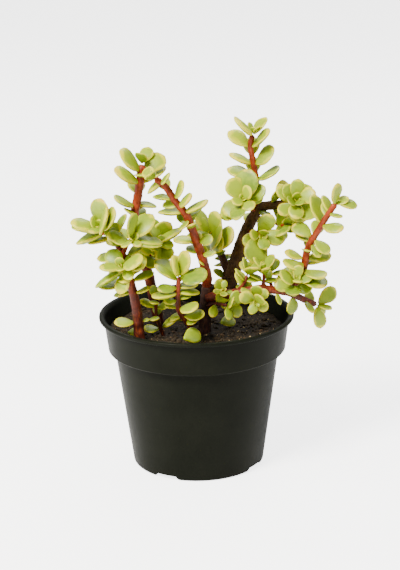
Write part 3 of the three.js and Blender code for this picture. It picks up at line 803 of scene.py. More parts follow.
@dataclass(frozen=True)
class Grit:
    """Crumbs, bark bits or pale granules that lie on the soil."""

    name: str
    dark: Color
    pale: Color

    def material(self) -> bpy.types.Material:
        """Builds the material."""
        skin = Skin(self.name)
        skin.set(Base_Color=skin.nodes.blend(skin.mottle(420.0, 3.2), self.dark, self.pale))
        skin.set(Specular_IOR_Level=0.2)
        skin.grain(scale=2600.0, roughness=0.85, wander=0.2, depth=0.0003, coarseness=0.7)
        return skin.material


CRUMB = Grit("soil_crumb", (0.006, 0.004, 0.002, 1.0), (0.045, 0.028, 0.013, 1.0))
GRANULE = Grit("pale_granule", (0.15, 0.095, 0.040, 1.0), (0.48, 0.36, 0.19, 1.0))
CHIP = Grit("bark_chip", (0.020, 0.011, 0.005, 1.0), (0.12, 0.065, 0.028, 1.0))


@dataclass(frozen=True)
class BarkFinish:
    """Bark that darkens towards the soil, with fine streaks and soft blotches; its rings of leaf scars are
    shaped in the wood.
    """

    name: str
    foot: Color
    crown: Color
    streak: Color
    roughness: float
    relief: float

    def material(self) -> bpy.types.Material:
        """Builds the material."""
        skin = Skin(self.name)
        nodes = skin.nodes
        height = nodes.add("SeparateXYZ")
        nodes.feed(skin.place, height.inputs[0])
        # Darker towards the soil, lighter up the shoot, by height alone.
        rise = nodes.span(height.outputs["Z"], 0.082, 0.128)
        darker_towards_soil = nodes.blend(rise, self.foot, self.crown)
        lengthwise = nodes.stretched(skin.place, (1.0, 1.0, 0.22))
        streaks = nodes.span(nodes.noise(lengthwise, 900.0, 3.0, 0.6), 0.48, 0.72)
        streaked = nodes.blend(nodes.math("MULTIPLY", streaks, 0.55), darker_towards_soil, self.streak)
        shade = nodes.span(skin.mottle(260.0, 2.2), 0.2, 0.8, 0.62, 1.25)
        skin.set(
            Base_Color=nodes.blend(1.0, streaked, shade, "MULTIPLY"), Subsurface_Weight=0.06,
            Subsurface_Scale=0.001, Specular_IOR_Level=0.25)
        skin.grain(1100.0, self.roughness, 0.18, self.relief, 0.6, lengthwise)
        return skin.material


BARKS: dict[Bark, BarkFinish] = {
    Bark.OLD: BarkFinish(
        "old_bark", (0.026, 0.010, 0.004, 1.0), (0.080, 0.034, 0.008, 1.0), (0.140, 0.080, 0.020, 1.0),
        0.78, 0.0005),
    Bark.DARK: BarkFinish(
        "dark_bark", (0.026, 0.008, 0.006, 1.0), (0.060, 0.018, 0.008, 1.0), (0.12, 0.045, 0.018, 1.0),
        0.66, 0.0004),
    Bark.RED: BarkFinish(
        "red_bark", (0.060, 0.011, 0.007, 1.0), (0.23, 0.027, 0.005, 1.0), (0.36, 0.075, 0.013, 1.0),
        0.44, 0.0002),
}


@dataclass(frozen=True)
class LeafSkin:
    """Fleshy leaf skin: a green heart, a broad cream-yellow margin, a blush at some rims and painted shade
    that darkens the lower face.
    """

    heart: Color = (0.30, 0.385, 0.002, 1.0)
    # A darker green for the random mottle, also mixed in as painted shade on the lower face.
    deep_green_and_painted_shade: Color = (0.075, 0.165, 0.003, 1.0)
    margin: Color = (0.60, 0.56, 0.012, 1.0)
    blush: Color = (0.66, 0.27, 0.05, 1.0)

    def material(self) -> bpy.types.Material:
        """Builds the material. The leaf's own UV runs across it and along it."""
        skin = Skin("leaf_flesh")
        nodes = skin.nodes
        across_along = nodes.add("SeparateXYZ")
        nodes.feed(nodes.add("UVMap", uv_map="leaf").outputs[0], across_along.inputs[0])
        across, along = across_along.outputs["X"], across_along.outputs["Y"]
        tone = nodes.add("SeparateColor")
        nodes.feed(nodes.add("Attribute", attribute_name="leaf_tone").outputs["Color"], tone.inputs[0])
        greenness, blushing, upper = (tone.outputs[name] for name in ("Red", "Green", "Blue"))

        offset = nodes.math("ABSOLUTE", nodes.math("SUBTRACT", nodes.math("MULTIPLY", across, 2.0), 1.0))
        flank = nodes.math("POWER", offset, 1.7)
        end = nodes.span(along, 0.66, 1.0)
        rim = nodes.math("MAXIMUM", flank, end)
        ragged = nodes.math("MULTIPLY", nodes.math("SUBTRACT", skin.mottle(230.0, 2.4), 0.5), 0.55)
        edge = nodes.math("ADD", rim, ragged)
        start = nodes.math("ADD", 0.30, nodes.math("MULTIPLY", greenness, 0.50))
        cream = nodes.math("DIVIDE", nodes.math("SUBTRACT", edge, start), 0.40, clamp=True)

        green = nodes.blend(nodes.math("MULTIPLY", skin.mottle(150.0, 2.0), greenness), self.heart, self.deep_green_and_painted_shade)
        # Painted shade: the lower face, where upper is 0, is mixed towards the darker green.
        painted_shade_green = nodes.blend(upper, nodes.blend(0.4, green, self.deep_green_and_painted_shade), green)
        body = nodes.blend(cream, painted_shade_green, self.margin)
        warm = nodes.math("MULTIPLY", nodes.span(edge, 0.72, 1.05), blushing)
        skin.set(Base_Color=nodes.blend(warm, body, self.blush))
        skin.set(
            Subsurface_Weight=0.22, Subsurface_Scale=0.0022, Subsurface_Radius=(0.9, 1.0, 0.25),
            Specular_IOR_Level=0.4, Coat_Weight=0.08, Coat_Roughness=0.3)
        skin.grain(scale=900.0, roughness=0.42, wander=0.18, depth=0.00012)
        return skin.material


# ---------------------------------------------------------------- the pot


@dataclass
class Pot:
    """A round moulded grower's pot with a rolled lip, a band and four drain notches, in mm."""

    height: float = 86.0
    lip_radius: float = 54.0
    lip_depth: float = 2.0
    band_top: float = 51.4
    band_foot: float = 49.2
    band_height: float = 66.4
    body_top: float = 45.4
    body_height: float = 65.4
    body_foot: float = 36.5
    wall: float = 1.3
    floor: float = 1.8
    foot_radius: float = 36.2
    foot_width: float = 3.0
    foot_height: float = 2.4
    rest_radius: float = 22.0
    notch_turn: float = -30.0
    notch_half: float = 8.5
    notch_top_half: float = 6.2
    notch_depth: float = 9.0
    hole: Point = (7.0, 6.0, 12.0)
    hole_radius: float = 29.0
    hole_middle: float = 2.0
    drains: int = 4
    sides: int = 144

    def section(self) -> list[tuple[float, float]]:
        """The shell's section, from the middle of the underside out, up, over and back inside."""
        top, lip_foot = self.height, self.height - self.lip_depth
        step = self.band_height + self.wall
        return [
            (self.rest_radius, 0.0), (self.rest_radius + 2, self.foot_height),
            (self.foot_radius - self.foot_width - 0.7, self.foot_height),
            (self.foot_radius - self.foot_width, 0.0), (self.foot_radius - 0.9, 0.0),
            (self.body_foot, 1.1), (self.body_foot + 0.12, 2.0), (self.body_top - 0.1, 64.4),
            (self.body_top, self.body_height), (self.band_foot - 0.4, self.band_height - 0.1),
            (self.band_foot, self.band_height + 0.4), (self.band_foot + 0.14, self.band_height + 2.0),
            (self.band_top - 0.15, lip_foot - 1.2), (self.band_top, lip_foot),
            (self.lip_radius - 0.5, lip_foot), (self.lip_radius, lip_foot + 0.5),
            (self.lip_radius, top - 0.5), (self.lip_radius - 0.5, top), (self.band_top + 0.3, top),
            (self.band_top - 0.4, top - 0.5), (self.band_top - self.wall, lip_foot - 0.3),
            (self.band_foot - self.wall, step), (self.body_top - self.wall, self.body_height + self.wall),
            (self.body_foot - self.wall, self.foot_height + self.floor + 1),
            (self.body_foot - self.wall - 1, self.foot_height + self.floor),
            (self.rest_radius + 1, self.foot_height + self.floor), (self.rest_radius - 1, self.floor),
        ]

    def shell(self) -> bpy.types.Object:
        """Extrudes the section's rings and rounds its sharp edges."""
        (radius, height), *rest = self.section()
        ladder = Ladder("pot_shell", radius * MM, height * MM, self.sides, filled=True)
        for radius, height in rest:
            ladder.step(radius * MM, height * MM)
        shell = ladder.close()
        finish_shape(shell)
        apply_modifier(
            shell, "BEVEL", width=0.35 * MM, segments=2, limit_method="ANGLE",
            angle_limit=math.radians(38.0), use_clamp_overlap=True)
        return shell

    @staticmethod
    def cutter_block(size: Point, middle: Point) -> bpy.types.Object:
        """A block of a size with its middle at a place, both in metres, left in edit mode."""
        deselect()
        bpy.ops.mesh.primitive_cube_add(size=1.0)
        cutter = bpy.context.object
        edit(cutter)
        bpy.ops.mesh.select_all(action="SELECT")
        bpy.ops.transform.resize(value=size, center_override=(0.0, 0.0, 0.0))
        bpy.ops.transform.translate(value=middle)
        return cutter

    @staticmethod
    def cutter_ready(
            cutter: bpy.types.Object, turn: float, round_off: float, segments: int) -> bpy.types.Object:
        """Rounds a cutter's edges and turns it to its place round the foot.

        Args:
            cutter: The cutter, in edit mode at the front.
            turn: Its place round the foot, in degrees from the front.
            round_off: How far its edges are rounded, in millimetres.
            segments: How many steps round an edge.

        Returns:
            The cutter, in place.
        """
        bpy.ops.object.mode_set(mode="OBJECT")
        apply_modifier(cutter, "BEVEL", width=round_off * MM, segments=segments)
        cutter.data.transform(Matrix.Rotation(math.radians(turn), 4, "Z"))
        return cutter

    def notch_cutter(self, turn: float) -> bpy.types.Object:
        """A slant-sided block that cuts one notch through the foot ring."""
        reach = (self.foot_radius - self.foot_width + self.notch_depth / 2 - 1.5) * MM
        cutter = self.cutter_block(
            (2 * self.notch_half * MM, self.notch_depth * MM, (self.foot_height + 1) * MM),
            (0.0, -reach, (self.foot_height - 1) / 2 * MM))
        pick(cutter, lambda place: place.z > self.foot_height * MM * 0.5)
        slant = self.notch_top_half / self.notch_half
        bpy.ops.transform.resize(value=(slant, 1.0, 1.0), center_override=(0.0, -reach, 0.0))
        return self.cutter_ready(cutter, turn, 0.5, 3)

    def hole_cutter(self, turn: float) -> bpy.types.Object:
        """A short bar that cuts the drain hole behind one notch."""
        width, length, height = self.hole
        cutter = self.cutter_block(
            (width * MM, length * MM, height * MM), (0.0, -self.hole_radius * MM, self.hole_middle * MM))
        return self.cutter_ready(cutter, turn, 1.4, 4)

    def build(self) -> bpy.types.Object:
        """Builds the pot and dresses it."""
        shell = self.shell()
        for drain in range(self.drains):
            turn = self.notch_turn + 360.0 / self.drains * drain
            for cutter in (self.notch_cutter(turn), self.hole_cutter(turn)):
                apply_modifier(shell, "BOOLEAN", object=cutter, operation="DIFFERENCE", solver="EXACT")
                bpy.data.objects.remove(cutter)
        only(shell)
        bpy.ops.object.shade_smooth_by_angle(angle=math.radians(32.0))
        pot = join([shell], "grower_pot")
        dress(pot, PotPlastic().material())
        settle(pot, ["pot"])
        return pot


# ---------------------------------------------------------------- the soil


def soil_relief(x: float, y: float) -> float:
    """The soil's gentle rise and fall, in millimetres, at a place in millimetres."""
    swell = math.sin(x * 0.11 + 0.6) * math.cos(y * 0.09 - 0.4)
    lumps = math.sin(x * 0.31 - y * 0.17) * math.sin(y * 0.27 + x * 0.06 + 1.1)
    return 0.8 * (swell + 0.6 * lumps)


@dataclass(frozen=True)
class Litter:
    """Loose bits on the soil: sizes in millimetres, and `lean`, how they gather front right."""

    name: str
    grit: Grit
    coarse: bool
    count: int
    sizes: tuple[float, float]
    flatness: Point
    lean: float


LITTER = (
    Litter("soil_crumbs", CRUMB, True, 150, (2.0, 4.2), (1.0, 0.85, 0.6), 0.3),
    Litter("fine_crumbs", CRUMB, False, 620, (0.8, 2.2), (1.0, 0.9, 0.7), 0.3),
    Litter("pale_granules", GRANULE, False, 230, (0.5, 1.5), (1.0, 0.9, 0.8), 1.2),
    Litter("bark_chips", CHIP, True, 60, (2.0, 5.0), (1.0, 0.38, 0.2), 0.4),
)


@dataclass
class Soil:
    """The potting soil that fills the pot, with the crumbs, granules and chips on it, in mm."""

    level: float = SOIL_LEVEL
    brim: float = 48.6
    ledge: float = 68.0
    ledge_radius: float = 47.5
    body_top: float = 43.7
    body_foot: float = 34.8
    floor: float = 4.6
    sides: int = 120
    ring_gap: float = 1.25
    innermost: float = 2.0
    chance: random.Random = field(default_factory=lambda: random.Random(41))

    def top_height(self, x: float, y: float) -> float:
        """The surface's height in millimetres at a place in millimetres."""
        fine = noise.noise(Vector((x, y, 3.0)) * 0.35) + 0.6 * noise.noise(Vector((x, y, 9.0)) * 0.9)
        return self.level + soil_relief(x, y) + 0.55 * fine - 0.3

    def block(self) -> bpy.types.Object:
        """The soil itself: a surface of many rings, and sides that follow the pot's inside."""
        ladder = Ladder("soil_block", self.body_foot * MM, self.floor * MM, self.sides, filled=True)
        for radius, height in (
                (self.body_top, self.ledge - 1), (self.ledge_radius, self.ledge),
                (self.brim, self.level - 1.2), (self.brim - 0.3, self.level)):
            ladder.step(radius * MM, height * MM)
        radius = self.brim - 0.3
        while radius > self.innermost:
            radius -= self.ring_gap
            ladder.step(radius * MM, self.level * MM)
        block = ladder.close()
        for vertex in block.data.vertices:
            x, y, z = vertex.co / MM
            if z > self.level - 0.6:
                vertex.co.z = self.top_height(x, y) * MM
        return finish_shape(block)

    def lump(self, name: str, faces: int) -> bpy.types.Object:
        """A rough pebble, one unit across, that the loose bits are copied from."""
        deselect()
        bpy.ops.mesh.primitive_ico_sphere_add(subdivisions=faces, radius=0.5)
        lump = bpy.context.object
        lump.name = name
        edit(lump)
        pick(lump, lambda place: place.z > 0.2)
        bpy.ops.transform.resize(value=(0.8, 1.15, 0.85), center_override=(0.0, 0.0, 0.2))
        bpy.ops.object.mode_set(mode="OBJECT")
        return lump

    def scatter(self, litter: Litter, lump: bpy.types.Object, material: bpy.types.Material) -> None:
        """Strews copies of a lump over the soil and joins them into one piece.

        Args:
            litter: What is strewn and how.
            lump: The pebble that is copied.
            material: The bits' material.
        """
        bits = []
        for _ in range(litter.count):
            turn = self.chance.uniform(0.0, 2.0 * math.pi)
            reach = (self.brim - 1.6) * math.sqrt(self.chance.random())
            x, y = reach * math.cos(turn), reach * math.sin(turn)
            if self.chance.random() < litter.lean * (0.5 - (x - y) / (2.8 * self.brim)):
                continue
            least, most = litter.sizes
            size = least + (most - least) * self.chance.random() ** 2.2
            bit = copy_of(lump, f"{litter.name}_bit")
            for vertex in bit.data.vertices:
                jag = 1.0 + 0.35 * noise.noise(vertex.co * 2.3 + Vector((x, y, size)))
                vertex.co *= jag
            spin = Matrix.Rotation(self.chance.uniform(0.0, 2.0 * math.pi), 3, "Z")
            tip = Matrix.Rotation(self.chance.uniform(-0.5, 0.5), 3, "X")
            shape = (spin @ tip @ Matrix.Diagonal(Vector(litter.flatness) * size * MM)).to_4x4()
            sunk = self.top_height(x, y) + 0.18 * size * litter.flatness[2]
            shape.translation = Vector((x, y, sunk)) * MM
            bit.data.transform(shape)
            bits.append(bit)
        piece = join(bits, litter.name)
        only(piece)
        bpy.ops.object.shade_smooth_by_angle(angle=math.radians(50.0))
        dress(piece, material)
        settle(piece)

    def build(self) -> None:
        """Builds the soil and everything loose on it."""
        block = join([self.block()], "potting_soil")
        dress(block, PottingSoil().material())
        settle(block, ["soil"])
        coarse, fine = self.lump("coarse_lump", 2), self.lump("fine_lump", 1)
        for litter in LITTER:
            self.scatter(litter, coarse if litter.coarse else fine, litter.grit.material())
        bpy.data.objects.remove(coarse)
        bpy.data.objects.remove(fine)


# ---------------------------------------------------------------- routes


class Route:
    """A smooth line through a shoot's points, measured along its length, in metres."""

    STEPS = 16
    REACH = 0.0005

    def __init__(self, points: Sequence[Point]) -> None:
        """Samples a centripetal spline through points given in millimetres."""
        places = [Vector(point) * MM for point in points]
        line = [2 * places[0] - places[1], *places, 2 * places[-1] - places[-2]]
        self.samples = [
            self.between(stretch, step / self.STEPS)
            for stretch in zip(line, line[1:], line[2:], line[3:]) for step in range(self.STEPS)]
        self.samples.append(places[-1])
        self.marks = [0.0]
        for here, there in zip(self.samples, self.samples[1:]):
            self.marks.append(self.marks[-1] + (there - here).length)
        self.length = self.marks[-1]

    @staticmethod
    def between(stretch: Sequence[Vector], part: float) -> Vector:
        """A point on the spline's stretch between the second and third of four points.

        Args:
            stretch: The four points.
            part: How far along the stretch, from 0 to 1.

        Returns:
            The point.
        """
        knots = [0.0]
        for here, there in zip(stretch, stretch[1:]):
            knots.append(knots[-1] + math.sqrt((there - here).length))
        time = knots[1] + (knots[2] - knots[1]) * part

        def pull(here: Vector, there: Vector, start: int, end: int) -> Vector:
            """The place between two points at the wanted time."""
            return here.lerp(there, (time - knots[start]) / (knots[end] - knots[start]))

        first, second, third, fourth = stretch
        middle = pull(second, third, 1, 2)
        before = pull(pull(first, second, 0, 1), middle, 0, 2)
        after = pull(middle, pull(third, fourth, 2, 3), 1, 3)
        return pull(before, after, 1, 2)

    def place(self, reach: float) -> Vector:
        """The point a given length from the foot, going straight on past either end."""
        index = min(max(bisect(self.marks, reach), 1), len(self.marks) - 1)
        start, end = self.marks[index - 1], self.marks[index]
        return self.samples[index - 1].lerp(self.samples[index], (reach - start) / (end - start))

    def direction(self, reach: float) -> Vector:
        """The way the line runs a given length from its foot."""
        low, high = max(reach - self.REACH, 0.0), min(reach + self.REACH, self.length)
        return (self.place(high) - self.place(low)).normalized()

    def turn(self, reach: float) -> Quaternion:
        """The shortest turn from upright to the line's direction."""
        return UP.rotation_difference(self.direction(reach))


# ---------------------------------------------------------------- leaves


class LeafForm(Enum):
    """The leaves' shapes: width, thickness, cupping and curl as shares of the length."""

    BROAD = (0.69, 0.23, 0.03, -0.04)
    ROUND = (0.78, 0.21, 0.06, 0.02)
    SLIM = (0.58, 0.25, 0.02, -0.08)
    SPOON = (0.66, 0.21, 0.08, 0.08)


@dataclass
class LeafBlank:
    """A leaf one unit long along Y, with its upper face towards Z, that the others are copied from."""

    form: LeafForm
    segments: int = 14
    rings: int = 9
    edge_thinning: float = 0.35
    point: float = 0.018
    half_widths: tuple[float, ...] = (0.17, 0.36, 0.66, 0.90, 1.0, 0.93, 0.70, 0.36)
    thicknesses: tuple[float, ...] = (0.50, 0.70, 0.90, 1.0, 0.97, 0.86, 0.62, 0.34)

    def ring_place(self, index: int) -> tuple[float, float]:
        """A ring's place along the leaf and its radius on the sphere it started as."""
        angle = math.pi * (index + 1) / self.rings
        return 0.5 - 0.5 * math.cos(angle), 0.5 * math.sin(angle)

    def build(self) -> bpy.types.Object:
        """Shapes the blank ring by ring from a sphere laid on its side."""
        width, thickness, cup, curl = self.form.value
        deselect()
        bpy.ops.mesh.primitive_uv_sphere_add(
            segments=self.segments, ring_count=self.rings, radius=0.5,
            location=(0.0, 0.5, 0.0), rotation=(-math.pi / 2, 0.0, 0.0))
        blank = bpy.context.object
        blank.name = f"leaf_blank_{self.form.name.lower()}"
        bpy.ops.object.transform_apply(location=True, rotation=True)
        edit(blank)
        for index, (half, thick) in enumerate(zip(self.half_widths, self.thicknesses)):
            along, radius = self.ring_place(index)
            pick(blank, lambda place: abs(place.y - along) < 0.005)
            bpy.ops.transform.resize(
                value=(half * width * 0.5 / radius, 1.0, thick * thickness * 0.5 / radius),
                center_override=(0.0, along, 0.0))
        pick(blank, lambda place: place.y > 0.995)
        bpy.ops.transform.translate(value=(0.0, self.point, 0.0))
        bpy.ops.object.mode_set(mode="OBJECT")
        bpy.ops.object.shade_smooth()
        self.mark(blank.data, width)
        for vertex in blank.data.vertices:
            side = vertex.co.x / (width * 0.5)
            vertex.co.z *= 1.0 - self.edge_thinning * side * side
            vertex.co.z += cup * side * side + curl * vertex.co.y ** 2
        return blank

    def mark(self, mesh: bpy.types.Mesh, width: float) -> None:
        """Writes the leaf's own coordinates and its upper face on its mesh; the upper face mark drives the
        painted shade on the lower face.

        Args:
            mesh: The blank's mesh, still flat.
            width: Its width as a share of its length.
        """
        while mesh.uv_layers:
            mesh.uv_layers.remove(mesh.uv_layers[0])
        chart = mesh.uv_layers.new(name="leaf")
        for loop in mesh.loops:
            place = mesh.vertices[loop.vertex_index].co
            half = max(self.half_at(place.y) * width * 0.5, 1e-4)
            across = 0.5 + 0.5 * max(-1.0, min(1.0, place.x / half))
            chart.data[loop.index].uv = (across, min(max(place.y, 0.0), 1.0))
        tone = mesh.color_attributes.new(name="leaf_tone", type="FLOAT_COLOR", domain="POINT")
        for vertex, mark in zip(mesh.vertices, tone.data):
            # Blue channel: 1 on the upper face, 0 on the lower, for the skin's painted shade below.
            mark.color = (0.5, 0.0, 0.5 + 0.5 * max(-1.0, min(1.0, vertex.co.z * 40.0)), 1.0)

    def half_at(self, along: float) -> float:
        """The outline's half-width, as a share of the widest, at a place along the leaf."""
        places = [0.0, *(self.ring_place(index)[0] for index in range(self.rings - 1)), 1.0]
        widths = [0.05, *self.half_widths, 0.10]
        index = min(max(bisect(places, along), 1), len(places) - 1)
        part = (along - places[index - 1]) / (places[index] - places[index - 1])
        return widths[index - 1] + (widths[index] - widths[index - 1]) * min(max(part, 0.0), 1.0)


@dataclass
class Foliage:
    """Everything the leaves share: their blanks, their skin and the chance that varies them."""

    blanks: dict[LeafForm, bpy.types.Object]
    skin: bpy.types.Material
    chance: random.Random
    form_weights: tuple[int, ...] = (4, 3, 2, 2)
    widening: tuple[float, float] = (1.04, 1.22)
    sway: float = 0.05
    greenness: tuple[float, float] = (0.48, 0.24)
    fallen_flush: float = 0.25
    fallen_lift: float = 0.8

    @classmethod
    def prepared(cls, seed: int) -> "Foliage":
        """Models one blank of each form and makes the skin."""
        blanks = {form: LeafBlank(form).build() for form in LeafForm}
        return cls(blanks, LeafSkin().material(), random.Random(seed))

    def leaf(
            self, foot: Vector, along: Vector, face: Vector, length: float, flush: float,
    ) -> bpy.types.Object:
        """One leaf, a little different from every other.

        Args:
            foot: Where it leaves the stem.
            along: The way it points.
            face: The way its upper face looks, square to along.
            length: Its length in metres.
            flush: How blushed its rim may be, 0 to 1.

        Returns:
            The leaf, in place.
        """
        chance = self.chance
        form = chance.choices(list(LeafForm), weights=self.form_weights)[0]
        leaf = copy_of(self.blanks[form], "leaf")
        wide = chance.uniform(*self.widening)
        bend, skew = chance.uniform(-self.sway, self.sway), chance.uniform(-self.sway, self.sway)
        seed = Vector((chance.uniform(0, 90), chance.uniform(0, 90), 0.0))
        side = along.cross(face)
        basis = Matrix((side, along, face)).transposed()
        for vertex in leaf.data.vertices:
            x, y, z = vertex.co
            ripple = 0.022 * noise.noise(Vector((x * 3.2, y * 3.2, z)) + seed) * y
            x = x * wide * (1.0 + 0.07 * noise.noise(Vector((0.0, y * 3.0, math.copysign(2.0, x))) + seed))
            local = Vector((x + skew * y * y, y, z + bend * y * y + ripple))
            vertex.co = foot + basis @ (local * length)
        green = min(1.0, max(0.0, chance.gauss(*self.greenness)))
        blush = flush * chance.random() ** 2
        tones = leaf.data.color_attributes["leaf_tone"].data
        # The blue channel keeps the upper-face mark that drives the painted shade on the lower face.
        for mark in tones:
            mark.color = (green, blush, mark.color[2], 1.0)
        return leaf

    def finish(self, leaves: Sequence[bpy.types.Object], name: str, nodes: Iterable[str]) -> None:
        """Joins leaves into one piece, dresses it and ties it to the frame.

        Args:
            leaves: The leaves.
            name: The piece's name.
            nodes: The frame's nodes that it stands for.
        """
        piece = join(leaves, name)
        dress(piece, self.skin)
        settle(piece, nodes)

    def drop(self, fallen: Fallen, index: int) -> None:
        """Lays one fallen leaf on the soil."""
        yaw, tilt = math.radians(fallen.heading), math.radians(fallen.tilt)
        along = Vector((math.cos(yaw), math.sin(yaw), 0.0))
        face = Quaternion(along, tilt) @ UP
        lift = fallen.length * (0.36 * abs(math.sin(tilt)) + 0.072) + self.fallen_lift
        foot = Vector((*fallen.foot, SOIL_LEVEL + lift)) * MM
        leaf = self.leaf(foot, along, face, fallen.length * MM, self.fallen_flush)
        self.finish([leaf], f"dropped_leaf_{index}", [f"fallen_leaf_{index}"])

    def put_away(self) -> None:
        """Removes the blanks once nothing more is copied from them."""
        for blank in self.blanks.values():
            bpy.data.objects.remove(blank)


# ---------------------------------------------------------------- shoots


@dataclass
class Shoot:
    """One shoot: its knobbly wood, its pairs of leaves and the small heart at its tip."""

    habit: Habit
    foliage: Foliage
    sides: int = 14
    ring_gap: float = 1.1
    scar_gap: float = 7.0
    knob: float = 0.09
    knob_spread: float = 1.1
    groove: float = 0.06
    groove_offset: float = 0.9
    groove_spread: float = 0.5
    bud_reach: float = 0.7

    def __post_init__(self) -> None:
        """Lays out the shoot's route."""
        self.route = Route(self.habit.route)

    def radius(self, part: float) -> float:
        """The wood's plain radius, in metres, at a part of its length."""
        foot, tip = self.habit.girth
        return (foot + (tip - foot) * min(max(part, 0.0), 1.0)) / 2 * MM

    def joints(self) -> list[float]:
        """Where the wood swells: at each pair, and at old leaf scars below and between them."""
        marks = sorted({pair[0] for pair in self.habit.pairs})
        gap = self.scar_gap * MM / self.route.length
        scars: list[float] = []
        for low, high in zip([0.0, *marks], [*marks, 1.0]):
            count = int((high - low) / gap)
            scars += [low + (high - low) * (step + 1) / (count + 1) for step in range(count)]
        return sorted(marks + scars)

    def swelling(self, reach: float, joints: Sequence[float]) -> float:
        """How much thicker than plain the wood is at a length from its foot."""
        grown = 1.0
        for joint in joints:
            off = (reach - joint * self.route.length) / MM
            knob = self.knob * math.exp(-(off / self.knob_spread) ** 2)
            groove = self.groove * math.exp(-((off - self.groove_offset) / self.groove_spread) ** 2)
            grown += knob - groove
        return grown

    def wood(self) -> bpy.types.Object:
        """Lays a straight rod along the route and works its knobs and scars into it."""
        length = self.route.length
        deselect()
        bpy.ops.mesh.primitive_cylinder_add(
            vertices=self.sides, radius=1.0, depth=length, end_fill_type="TRIFAN",
            location=(0.0, 0.0, length / 2))
        rod = bpy.context.object
        bpy.ops.object.transform_apply(location=True)
        edit(rod)
        mesh = bmesh.from_edit_mesh(rod.data)
        for edge in mesh.edges:
            edge.select_set(abs(edge.verts[0].co.z - edge.verts[1].co.z) > length / 2)
        bmesh.update_edit_mesh(rod.data)
        bpy.ops.mesh.select_mode(type="EDGE")
        bpy.ops.mesh.subdivide(number_cuts=max(4, round(length / (self.ring_gap * MM))))
        finish_shape(rod, 60.0)
        joints = self.joints()
        for vertex in rod.data.vertices:
            vertex.co = self.laid(vertex.co, joints)
        return rod

    def laid(self, place: Vector, joints: Sequence[float]) -> Vector:
        """Where a point of the straight rod, one unit in radius, comes to lie.

        Args:
            place: The point.
            joints: Where the wood swells.

        Returns:
            The point on the finished wood.
        """
        reach = place.z
        plain = self.radius(reach / self.route.length)
        left = (self.route.length - reach) / plain
        rounding = math.sqrt(max(0.0, 1.0 - (1.0 - left) ** 2)) if left < 1.0 else 1.0
        lumps = 1.0 + 0.045 * noise.noise(Vector((place.x, place.y, reach / plain * 0.9)) * 1.2)
        lumps += 0.025 * noise.noise(Vector((place.x * 3, place.y * 3, reach / plain * 0.7)))
        radius = plain * self.swelling(reach, joints) * lumps * max(rounding, 0.25)
        across = self.route.turn(reach) @ Vector((place.x * radius, place.y * radius, 0.0))
        return self.route.place(reach) + across

    def leaf(self, part: float, yaw: float, opening: float, length: float, twist: float,
             flush: float = 0.35) -> bpy.types.Object:
        """A leaf on the shoot.

        Args:
            part: How far up the shoot it sits.
            yaw: The way it points about the stem, in degrees.
            opening: How far it leans out from the stem, in degrees.
            length: Its length in millimetres.
            twist: Its turn about its own length, in degrees.
            flush: How blushed its rim may be.

        Returns:
            The leaf, in place.
        """
        reach = part * self.route.length
        turn = self.route.turn(reach)
        lean = math.radians(opening)
        outward = Vector((math.cos(math.radians(yaw)), math.sin(math.radians(yaw)), 0.0))
        along = turn @ (outward * math.sin(lean) + UP * math.cos(lean))
        face = turn @ (UP * math.sin(lean) - outward * math.cos(lean))
        face += self.habit.light * (SUNWARD - along * SUNWARD.dot(along))
        face = (face - along * face.dot(along)).normalized()
        face = Quaternion(along, math.radians(twist)) @ face
        foot = self.route.place(reach) + along * self.radius(part) * self.bud_reach
        return self.foliage.leaf(foot, along, face, length * MM, flush)

    def pair(self, row: tuple[float, ...]) -> list[bpy.types.Object]:
        """The leaves of one row of the habit; one of them may be missing."""
        part, yaw, opening, first, second, first_twist, second_twist = row
        sides = ((yaw, first, first_twist), (yaw + 180.0, second, second_twist))
        return [self.leaf(part, turn, opening, length, twist) for turn, length, twist in sides if length]

    def heart(self) -> list[bpy.types.Object]:
        """The unopened leaves at the growing point, set across the last pair."""
        if not self.habit.pairs:
            return []
        yaw, opening, first, second = self.habit.pairs[-1][1:5]
        size = (first + second) / 2
        lean = min(opening, 40.0) * 0.7
        inner = (
            (yaw + 90.0, lean, 0.46), (yaw + 90.0 + 180.0, lean, 0.42),
            (yaw + 20.0, 12.0, 0.26), (yaw + 200.0, 12.0, 0.24))
        return [self.leaf(1.0, turn, lean, size * share, 0.0, 0.8) for turn, lean, share in inner]

    def build(self) -> None:
        """Builds the shoot's wood and leaves, piece by piece."""
        habit = self.habit
        name, tip = habit.name, habit.tip
        wood = join([self.wood()], f"{name}_wood")
        dress(wood, BARK_SKINS[habit.bark])
        settle(wood, [name])
        upper = [row for row in habit.pairs if row[0] >= tip]
        lower = [row for row in habit.pairs if row[0] < tip]
        counted = 0
        for place, row in enumerate(lower, start=1):
            stands_for = []
            if (row[3] + row[4]) / 2 >= LEAST_PAIR:
                counted += 1
                stands_for = [f"{name}_leaves_{counted}"]
            self.foliage.finish(self.pair(row), f"{name}_pair_{place}", stands_for)
        if upper:
            leaves = [leaf for row in upper for leaf in self.pair(row)] + self.heart()
            self.foliage.finish(leaves, f"{name}_crown", [f"{name}_tip" if tip > 0 else name])


# ---------------------------------------------------------------- studio


@dataclass(frozen=True)
class Softbox:
    """An area light: its place, what it points at, its size in metres, its power and colour."""

    name: str
    place: Point
    target: Point
    size: tuple[float, float]
    power: float
    color: tuple[float, float, float] = (1.0, 1.0, 1.0)

    def build(self) -> None:
        """Hangs the light."""
        deselect()
        bpy.ops.object.light_add(type="AREA", location=self.place)
        lamp = bpy.context.object
        lamp.name = self.name
        lamp.data.shape = "RECTANGLE"
        lamp.data.size, lamp.data.size_y = self.size
        lamp.data.energy = self.power
        lamp.data.color = self.color
        lamp.rotation_euler = (Vector(self.target) - Vector(self.place)).to_track_quat("-Z", "Y").to_euler()


